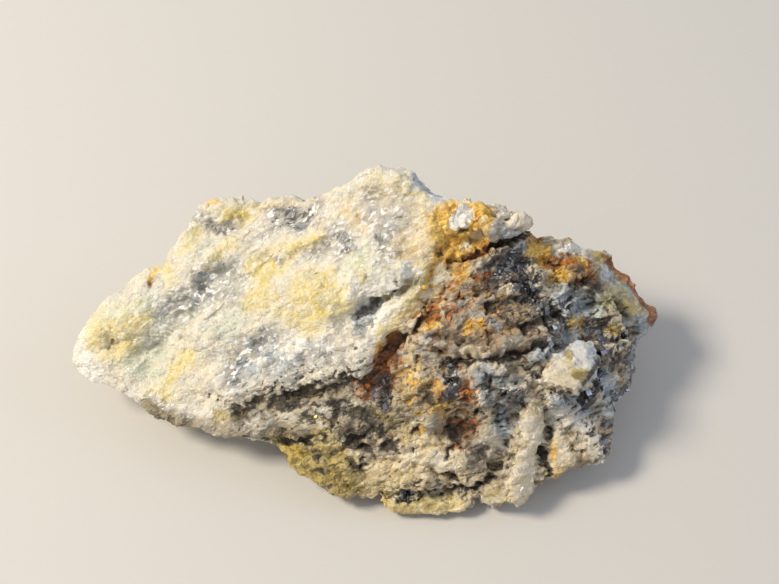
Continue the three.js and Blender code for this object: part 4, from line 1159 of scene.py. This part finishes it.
def chips(tree, place, size):
    """Broken crystal faces: cells about `size` across, each a plane with its own lean and height,
    from about -1 to 1. The cells' own colour is the other output."""
    cell = add(tree, VORONOI, {"Vector": place, "Scale": 1 / size}).node
    away = add(tree, VECTOR_MATH, place, cell.outputs["Position"], operation="SUBTRACT")
    lean = add(tree, VECTOR_MATH, cell.outputs["Color"], MIDDLE, operation="SUBTRACT")
    slope = add(tree, VECTOR_MATH, away, lean, operation="DOT_PRODUCT").node.outputs["Value"]
    level = add(tree, VECTOR_MATH, lean, FACE_LEVEL, operation="DOT_PRODUCT")
    level = level.node.outputs["Value"]
    height = add(tree, MATH, slope, FACE_LEAN / size, level, operation="MULTIPLY_ADD")
    return height, cell.outputs["Color"]


def knobs(tree, place, size):
    """Rounded grains about `size` across: 1 on top of each, 0 in the creases between them."""
    cell = add(tree, VORONOI, {"Vector": place, "Scale": 1 / size}).node
    far = cell.outputs["Distance"]
    squared = add(tree, MATH, far, far, operation="MULTIPLY")
    height = add(tree, MATH, squared, KNOB_FALL, 1.0, operation="MULTIPLY_ADD", use_clamp=True)
    return height, cell.outputs["Color"]


def clouds(tree, place, size, detail=2.0):
    """Soft noise from about -0.5 to 0.5 with lumps about `size` across."""
    values = {"Vector": place, "Scale": 1 / size, "Detail": detail, "Roughness": 0.6}
    return add(tree, MATH, add(tree, NOISE, values), 0.5, operation="SUBTRACT")


def weighed(tree, *parts):
    """The sum of heights, each times its weight."""
    total = 0.0
    for value, weight in parts:
        total = add(tree, MATH, value, weight, total, operation="MULTIPLY_ADD")
    return total


def laid_over(tree, under, over, pattern, low, high):
    """One colour, and another laid over it as the pattern climbs from low to high."""
    share = add(tree, MAP_RANGE, {"Value": pattern, "From Min": low, "From Max": high}, **SOFT)
    return add(tree, MIX, share, under, over)


# ---- Relief ----


def new_geometry_tree(name, **sizes):
    """An empty geometry tree with named inputs for sizes: the tree, its inputs and its result."""
    tree = bpy.data.node_groups.new(name, "GeometryNodeTree")
    tree.interface.new_socket("Geometry", in_out="INPUT", socket_type="NodeSocketGeometry")
    tree.interface.new_socket("Geometry", in_out="OUTPUT", socket_type="NodeSocketGeometry")
    for label, value in sizes.items():
        socket = tree.interface.new_socket(label, in_out="INPUT", socket_type="NodeSocketFloat")
        socket.default_value = value
    return tree, add(tree, "NodeGroupInput").node.outputs, add(tree, "NodeGroupOutput")


def grown(base, name, tree, **values):
    """The plain mesh object that a geometry tree makes of a copy of base's mesh."""
    obj = link_to_scene(bpy.data.objects.new(name, base.data.copy()))
    modifier = obj.modifiers.new(name, "NODES")
    modifier.node_group = tree
    for item in tree.interface.items_tree:
        if item.in_out == "INPUT" and item.name in values:
            modifier[item.identifier] = float(values[item.name])
    return baked(obj, name)


def hollow_depth(tree, passes):
    """How far a point lies under the smoothed skin around it, in mm; below 0 where it stands out."""
    place = add(tree, "GeometryNodeInputPosition")
    level = add(tree, "GeometryNodeBlurAttribute", place, passes, data_type="FLOAT_VECTOR")
    rise = add(tree, VECTOR_MATH, level, place, operation="SUBTRACT")
    normal = add(tree, "GeometryNodeInputNormal")
    depth = add(tree, VECTOR_MATH, rise, normal, operation="DOT_PRODUCT").node.outputs["Value"]
    return add(tree, MATH, depth, MM, operation="DIVIDE")


HOLLOWS = {"crease": 5, "hollow": 45}  # passes of blur that tell each kind from its surroundings


def relief_tree(material):
    """Breaks up the skin: sugary calcite on the slab, knobbly grains and pits on the rough side."""
    tree, given, result = new_geometry_tree("relief", slab=1.0, rough=1.0)
    place = add(tree, "GeometryNodeInputPosition")
    grain = along_grain(tree, place)
    past_edge = add(tree, NAMED, "rough", data_type="FLOAT")
    band = add(tree, MATH, add(tree, NAMED, "specks", data_type="FLOAT"), 0.8, operation="MULTIPLY")
    rough = add(tree, MATH, past_edge, band, operation="MAXIMUM")

    swell = clouds(tree, place, 5 * MM)
    lumps = clouds(tree, grain, 1.7 * MM)
    splinters = clouds(tree, grain, 0.7 * MM, 3.0)
    big, _ = knobs(tree, grain, 1.7 * MM)
    small, _ = knobs(tree, grain, 0.9 * MM)
    slabs, _ = chips(tree, grain, 2.9 * MM)
    broken, _ = chips(tree, grain, 1.7 * MM)
    crumbs, _ = chips(tree, grain, 0.9 * MM)
    low = {"Value": clouds(tree, grain, 1.3 * MM), "From Min": -0.1, "From Max": -0.22}
    pits = add(tree, MAP_RANGE, low, **SOFT)

    slab = weighed(
        tree, (swell, 0.9), (lumps, 0.4), (splinters, 0.22), (big, 0.1), (small, 0.1),
        (slabs, 0.1), (broken, 0.06), (crumbs, 0.07),
    )
    slab = add(tree, MATH, slab, given["slab"], operation="MULTIPLY")
    knobbly = weighed(
        tree, (swell, 1.1), (lumps, 0.4), (splinters, 0.2), (big, 0.24), (small, 0.18),
        (slabs, 0.22), (broken, 0.18), (crumbs, 0.17), (pits, -0.15), (1.0, -0.22),
    )
    knobbly = add(tree, MATH, knobbly, given["rough"], operation="MULTIPLY")
    step = add(tree, MATH, knobbly, slab, operation="SUBTRACT")
    height = add(tree, MATH, step, rough, slab, operation="MULTIPLY_ADD")
    away = add(tree, NAMED, "turned away", data_type="FLOAT")
    breaks, _ = chips(tree, place, 9 * MM)
    ledges, _ = chips(tree, place, 4 * MM)
    broken_back = weighed(tree, (breaks, 0.9), (ledges, 0.5), (broken, 0.15))
    height = add(tree, MATH, broken_back, away, height, operation="MULTIPLY_ADD")
    loud = add(tree, MATH, 1.0, add(tree, NAMED, "calm", data_type="FLOAT"), operation="SUBTRACT")
    forms = add(tree, NAMED, "forms", data_type="FLOAT")
    height = add(tree, MATH, height, loud, forms, operation="MULTIPLY_ADD")

    kept = add(
        tree, "GeometryNodeStoreNamedAttribute",
        {"Geometry": given["Geometry"], "Name": "rest", "Value": place}, data_type="FLOAT_VECTOR",
    )
    outward = add(tree, NAMED, "outward", data_type="FLOAT_VECTOR")
    reach = add(tree, MATH, height, MM, operation="MULTIPLY")
    offset = add(tree, VECTOR_MATH, {0: outward, "Scale": reach}, operation="SCALE")
    moved = add(tree, "GeometryNodeSetPosition", {"Geometry": kept, "Offset": offset})
    for name, passes in HOLLOWS.items():
        values = {"Geometry": moved, "Name": name, "Value": hollow_depth(tree, passes)}
        moved = add(tree, "GeometryNodeStoreNamedAttribute", values, data_type="FLOAT")
    real = add(tree, "GeometryNodeRealizeInstances", moved)
    done = add(tree, "GeometryNodeSetMaterial", {"Geometry": real, "Material": material})
    tree.links.new(done, result.inputs[0])
    return tree


def keep_on_floor(mesh, depth):
    """Presses what lies lower than the depth flat onto the floor."""
    places = vertex_places(mesh)
    places[places[:, 2] < depth, 2] = 0
    mesh.vertices.foreach_set("co", places.ravel())
    mesh.update()


# ---- Materials ----


def new_material(name):
    """A new material, its tree and the shader of its surface."""
    material = bpy.data.materials.new(name)
    material.use_nodes = True
    tree = material.node_tree
    return material, tree, tree.nodes["Principled BSDF"]


# name: deepest and palest colour, softness of the edge, how much covers, how much keeps to hollows
FINISHES = {
    "white": ("#fdf9f0", "#efe9da", 0.3, 0.8, -0.2),
    "yellow": ("#dcc468", "#eaddb0", 0.3, 0.85, 0.0),
    "mint": ("#bcc2a6", "#dee1cd", 0.32, 0.75, 0.2),
    "tan": ("#d8b97e", "#f4e3ba", 0.28, 0.8, 0.1),
    "grey": ("#8f8c88", "#c4c0b8", 0.3, 0.75, 0.2),
    "blue": ("#8d9ba4", "#cfd7da", 0.26, 0.85, 0.0),
    "olive": ("#6f6748", "#a39b75", 0.25, 0.8, 0.3),
    "slate": ("#36414b", "#87939b", 0.24, 0.9, 0.5),
    # partly painted shade on faces turned down and away from the light
    "drab_and_underside_shade": ("#4f4434", "#a8987a", 0.3, 0.85, 0.6),
    "brown": ("#4c3725", "#b2946e", 0.26, 0.75, 0.8),
    "ochre": ("#cf9825", "#fdd66c", 0.24, 0.92, 0.4),
    "rust": ("#45200a", "#bd6c1e", 0.22, 0.9, 0.9),
    "cream": ("#d6c6a2", "#efe5d0", 0.22, 0.85, 0.0),
    "mustard": ("#73622b", "#c4ac5c", 0.26, 0.85, 0.3),
    "brick": ("#7a4424", "#b8804c", 0.22, 0.9, 0.2),
    # painted shadow in cracks, pits and under overhangs, partly dark grains
    "crack_shade_and_dark_spots": ("#17110d", "#463a30", 0.2, 0.9, 0.6),
    # partly painted highlight, for the glint and the sparkles
    "quartz": ("#f7efde", "#fffaf0", 0.15, 0.95, -0.3),
}


def ore_material():
    """Calcite and quartz rock with iron stains: sugary and slightly see-into, with painted shade in
    its hollows.
    """
    material, tree, surface = new_material("broken calcite and quartz ore")
    own = add(tree, "ShaderNodeTexCoord").node.outputs["Object"]
    place = add(tree, "ShaderNodeAttribute", attribute_name="rest").node.outputs["Vector"]
    grain = along_grain(tree, place)

    _, knob_cells = knobs(tree, grain, 1.2 * MM)
    _, tiny_cells = knobs(tree, grain, 0.65 * MM)
    knob = add(tree, "ShaderNodeSeparateColor", knob_cells).node.outputs
    tiny = add(tree, "ShaderNodeSeparateColor", tiny_cells).node.outputs
    haze = clouds(tree, place, 3.0 * MM, 3.0)
    ragged = clouds(tree, grain, 1.1 * MM, 4.0)
    fleck = clouds(tree, grain, 0.45 * MM, 2.0)
    kept = {}
    for name in (*FINISHES, "galena", "specks", "rough", *HOLLOWS):
        kept[name] = add(tree, "ShaderNodeAttribute", attribute_name=name).node.outputs["Fac"]
    rough = kept["rough"]
    # 0 on the level, about 1 in a deep crease
    deep = weighed(tree, (kept["crease"], 1.4), (kept["hollow"], 1.0))

    # the matrix: milky grains on the slab, pale knobs of all tones on the rough side
    pale = laid_over(tree, "#d6d2c2", "#efe3c9", haze, -0.2, 0.1)
    pale = laid_over(tree, pale, "#cdc8ba", ragged, 0.02, 0.25)
    pale = laid_over(tree, pale, "#e4dfd0", knob[0], 0.5, 1.0)
    pale = laid_over(tree, pale, "#c9c5b8", tiny[0], 0.7, 1.2)
    knobbly = laid_over(tree, "#cdbb98", "#a39888", knob[0], 0.2, 0.8)
    knobbly = laid_over(tree, knobbly, "#e2d8c4", tiny[0], 0.55, 0.9)
    knobbly = laid_over(tree, knobbly, "#86745a", tiny[1], 0.65, 0.95)
    colour = add(tree, MIX, rough, pale, knobbly)

    tone = weighed(tree, (knob[2], 0.35), (tiny[2], 0.35), (fleck, 0.7), (ragged, 0.5))
    for name, (deepest, palest, softness, cover, seep) in FINISHES.items():
        worn = kept[name]
        edge = weighed(tree, (worn, 1.0), (ragged, 1.0), (fleck, 0.6), (deep, seep * 0.35))
        edge = {"Value": edge, "From Min": 0.5 - softness, "From Max": 0.5 + softness}
        inside = {"Value": worn, "From Min": 0.02, "From Max": 0.25, "To Max": cover}
        inside = add(tree, MAP_RANGE, inside, **SOFT)
        share = add(tree, MATH, add(tree, MAP_RANGE, edge, **SOFT), inside, operation="MULTIPLY")
        stain = laid_over(tree, deepest, palest, tone, 0.1, 0.6)
        colour = add(tree, MIX, share, colour, stain)

    # painted glints: small white specks in the grey, glassy parts stand in for clear faces flashing
    # in the light
    _, glint_cells = knobs(tree, grain, 0.38 * MM)
    glassy = add(tree, MATH, kept["grey"], rough, operation="SUBTRACT", use_clamp=True)
    painted_glints = add(tree, "ShaderNodeSeparateColor", glint_cells)
    painted_glints = {"Value": painted_glints, "From Min": 0.78, "From Max": 0.84, "To Max": glassy}
    colour = add(tree, MIX, add(tree, MAP_RANGE, painted_glints, **SOFT), colour, "#fbfaf7")

    # dark grains strewn between the pale ones where the specks are dense and in creases: partly dark
    # minerals, partly painted shade between the grains
    streaks = clouds(tree, grain, 0.7 * MM, 3.0)
    dense = weighed(tree, (streaks, 1.6), (kept["specks"], 0.55), (deep, 0.35), (tiny[0], 0.2))
    dark_grains_and_crease_shade = {"Value": dense, "From Min": 0.47, "From Max": 0.68, "To Max": 0.9}
    dark_grains_and_crease_shade = add(tree, MAP_RANGE, dark_grains_and_crease_shade, **SOFT)
    colour = add(tree, MIX, dark_grains_and_crease_shade, colour, add(tree, MIX, knob[1], "#2c2620", "#5b5040"))

    # galena: single metal grains, more of them where it is strong
    rich = kept["galena"]
    most = weighed(tree, (rough, 0.4), (1.0, 0.55))
    most = {"Value": rich, "From Min": 0.05, "From Max": 0.2, "To Max": most}
    odds = weighed(tree, (rich, 1.15), (ragged, 0.8), (tiny[1], -0.8))
    odds = {"Value": odds, "From Max": 0.12, "To Max": add(tree, MAP_RANGE, most, **SOFT)}
    metal = add(tree, MAP_RANGE, odds, **SOFT)
    colour = add(tree, MIX, metal, colour, add(tree, MIX, tiny[2], "#4e4b48", "#92908d"))

    # painted shade in the hollows: darker the deeper a crease or hollow lies, most on the rough side
    painted_hollow_shade = add(tree, MIX, rough, "#a4947a", "#33261b")
    most = weighed(tree, (rough, 0.4), (1.0, 0.35))
    hollow_shade_share = {"Value": deep, "From Min": 0.2, "From Max": 1.2, "To Max": most}
    colour = add(tree, MIX, add(tree, MAP_RANGE, hollow_shade_share, **SOFT), colour, painted_hollow_shade)

    tree.links.new(colour, surface.inputs["Base Color"])
    tree.links.new(add(tree, MATH, metal, 0.9, operation="MULTIPLY"), surface.inputs["Metallic"])
    fresh = {"Value": tiny[1], "From Min": 0.6, "From Max": 0.85, "To Max": -0.45}
    fresh = add(tree, MAP_RANGE, fresh, **SOFT)
    gloss = weighed(tree, (fresh, 1.0), (tiny[0], -0.15), (metal, -0.3), (1.0, 0.8))
    tree.links.new(add(tree, MATH, gloss, 0.16, operation="MAXIMUM"), surface.inputs["Roughness"])
    surface.inputs["IOR"].default_value = 1.56
    surface.inputs["Subsurface Weight"].default_value = 0.12
    surface.inputs["Subsurface Radius"].default_value = (1.0, 0.8, 0.55)
    surface.inputs["Subsurface Scale"].default_value = 0.7 * MM

    facets, _ = chips(tree, own, 0.45 * MM)
    sugar, _ = chips(tree, own, 0.28 * MM)
    fine = weighed(tree, (facets, 0.06), (sugar, 0.035), (clouds(tree, own, 0.3 * MM), 0.1))
    bump = add(tree, "ShaderNodeBump", {"Height": fine, "Distance": MM, "Strength": 1.0})
    tree.links.new(bump, surface.inputs["Normal"])
    return material


def galena_material():
    """Cleaved galena: lead-grey metal, mirror-bright on fresh faces."""
    material, tree, surface = new_material("cleaved galena")
    own = add(tree, "ShaderNodeTexCoord").node.outputs["Object"]
    height, cells = chips(tree, own, 0.8 * MM)
    tone = add(tree, "ShaderNodeSeparateColor", cells).node.outputs
    tree.links.new(add(tree, MIX, tone[0], "#6c6e72", "#b6b8bb"), surface.inputs["Base Color"])
    surface.inputs["Metallic"].default_value = 1.0
    gloss = add(tree, MATH, tone[1], 0.25, 0.14, operation="MULTIPLY_ADD")
    tree.links.new(gloss, surface.inputs["Roughness"])
    bump = add(tree, "ShaderNodeBump", {"Height": height, "Distance": 0.06 * MM, "Strength": 1.0})
    tree.links.new(bump, surface.inputs["Normal"])
    return material


def pyrite_material():
    """Pyrite: pale brass-yellow metal specks."""
    material, tree, surface = new_material("pyrite")
    own = add(tree, "ShaderNodeTexCoord").node.outputs["Object"]
    _, cells = chips(tree, own, 0.5 * MM)
    tone = add(tree, "ShaderNodeSeparateColor", cells)
    tree.links.new(add(tree, MIX, tone, "#b08d3c", "#dcc274"), surface.inputs["Base Color"])
    surface.inputs["Metallic"].default_value = 1.0
    surface.inputs["Roughness"].default_value = 0.22
    return material


# ---- Scattered grains and crystals ----


MOST_DENSE = 1e7  # points on a square metre, before the spacing thins them


def scatter_tree(name, density_of, least, most, spacing, sink, lie, stray, material):
    """Scatters sunk cleavage blocks over the skin where density_of(tree) is high."""
    tree, given, result = new_geometry_tree(name, least=least, most=most, spacing=spacing)
    points = add(
        tree,
        "GeometryNodeDistributePointsOnFaces",
        {
            "Mesh": given["Geometry"],
            "Distance Min": given["spacing"],
            "Density Max": MOST_DENSE,
            "Density Factor": density_of(tree),
            "Seed": 7,
        },
        distribute_method="POISSON",
    ).node.outputs
    down = add(tree, VECTOR_MATH, {0: points["Normal"], "Scale": -sink}, operation="SCALE")
    sunk = add(tree, "GeometryNodeSetPosition", {"Geometry": points["Points"], "Offset": down})
    strays = {0: (-stray,) * 3, 1: (stray,) * 3, "Seed": 3}
    turn = add(tree, "FunctionNodeRandomValue", strays, data_type="FLOAT_VECTOR")
    turn = add(tree, VECTOR_MATH, turn, lie, operation="ADD")
    sizes = {0: given["least"], 1: given["most"], "Seed": 5}
    extent = add(tree, "FunctionNodeRandomValue", sizes, data_type="FLOAT_VECTOR")
    cube = add(tree, "GeometryNodeMeshCube", {"Size": (1, 1, 1)})
    copies = {"Points": sunk, "Instance": cube, "Rotation": turn, "Scale": extent}
    copies = add(tree, "GeometryNodeInstanceOnPoints", copies)
    real = add(tree, "GeometryNodeRealizeInstances", copies)
    done = add(tree, "GeometryNodeSetMaterial", {"Geometry": real, "Material": material})
    tree.links.new(done, result.inputs[0])
    return tree


def on_rough_side(tree):
    """Loose grains gather in places on the rough side."""
    gathered = clouds(tree, add(tree, "GeometryNodeInputPosition"), 3 * MM)
    rough = add(tree, NAMED, "rough", data_type="FLOAT")
    return add(tree, MAP_RANGE, {"Value": gathered, "From Max": 0.15, "To Max": rough}, **SOFT)


def on_galena(tree):
    """Crystals stand out only where the rough side is rich in galena."""
    rich = add(tree, NAMED, "galena", data_type="FLOAT")
    rough = add(tree, NAMED, "rough", data_type="FLOAT")
    rich = {"Value": rich, "From Min": 0.5, "From Max": 0.8, "To Max": rough}
    return add(tree, MAP_RANGE, rich, **SOFT)


def on_pyrite(tree):
    """A few brassy places."""
    brassy = add(tree, NAMED, "pyrite", data_type="FLOAT")
    return add(tree, MAP_RANGE, {"Value": brassy, "From Min": 0.4, "From Max": 0.9}, **SOFT)


# ---- Pieces ----

ore = ore_material()
galena = galena_material()
pyrite = pyrite_material()

skin = smooth_solid()
write_outward(skin)
write_rough_side(skin.data)
write_forms(skin.data)
write_stains(skin.data, ["specks"])

rock = thinned(grown(skin, "rock", relief_tree(ore)))
keep_biggest_part(rock.data)
keep_on_floor(rock.data, FOOT_DEPTH)
write_stains(rock.data, [name for name in STAINS if name != "specks"])
rock.data.polygons.foreach_set("use_smooth", [False] * len(rock.data.polygons))
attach(rock, "root")
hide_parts(ROCK)

CUBES_LIE = (0.5, 0.3, 0.6)  # how the galena's cleavage faces lie, in radians
# name, where, smallest and largest edge, spacing and sink in mm, how they lie and stray, material
scatters = (
    ("calcite_chips", on_rough_side, 0.3, 0.9, 1.5, 0.2, (0.2, 0.5, 0.3), 0.8, ore),
    ("galena_crystals", on_galena, 0.4, 1.1, 0.8, 0.35, CUBES_LIE, 0.35, galena),
    ("pyrite_specks", on_pyrite, 0.3, 0.5, 0.8, 0.05, (0, 0, 0), 3.1, pyrite),
)
for name, density_of, least, most, spacing, sink, lie, stray, material in scatters:
    tree = scatter_tree(
        name, density_of, least * MM, most * MM, spacing * MM, sink * MM, lie, stray, material
    )
    piece = grown(rock, name, tree)
    keep_on_floor(piece.data, 0)
    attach(piece, "root")

bpy.data.objects.remove(skin)

# ---- Stage ----

FLOOR_SIDE = 4.0  # metres


def make_floor():
    """A plain pale floor."""
    material, _, surface = new_material("pale matt floor")
    surface.inputs["Base Color"].default_value = linear("#cfccc6")
    surface.inputs["Roughness"].default_value = 0.9
    mesh = bpy.data.meshes.new("floor")
    half = FLOOR_SIDE / 2
    corners = [(-half, -half, 0), (half, -half, 0), (half, half, 0), (-half, half, 0)]
    mesh.from_pydata(corners, [], [(0, 1, 2, 3)])
    mesh.materials.append(material)
    floor = link_to_scene(bpy.data.objects.new("floor", mesh))


def make_light(name, azimuth, elevation, distance, size, power, colour):
    """A square soft light that shines at the rock; azimuth 0 is in front and 90 to the right."""
    data = bpy.data.lights.new(name, "AREA")
    data.size = size
    data.energy = power
    data.color = linear(colour)[:3]
    light = link_to_scene(bpy.data.objects.new(name, data))
    across, high = math.radians(azimuth), math.radians(elevation)
    level = math.cos(high)
    back = Vector((math.sin(across) * level, -math.cos(across) * level, math.sin(high)))
    light.location = LOOKS_AT + back * distance
    light.rotation_mode = "QUATERNION"
    light.rotation_quaternion = (-back).to_track_quat("-Z", "Y")


def make_sky(colour, strength):
    """Even light from all sides."""
    world = bpy.data.worlds.new("studio")
    world.use_nodes = True
    sky = world.node_tree.nodes["Background"]
    sky.inputs["Color"].default_value = linear(colour)
    sky.inputs["Strength"].default_value = strength
    bpy.context.scene.world = world


make_floor()
make_light(
    "key", azimuth=-88, elevation=48, distance=0.6, size=0.16, power=3.5, colour="#fff4e2"
)
make_light(
    "fill", azimuth=100, elevation=28, distance=0.7, size=0.4, power=0.7, colour="#cddcff"
)
make_sky(colour="#e4e8f0", strength=0.55)
bpy.context.scene.view_settings.view_transform = "Standard"
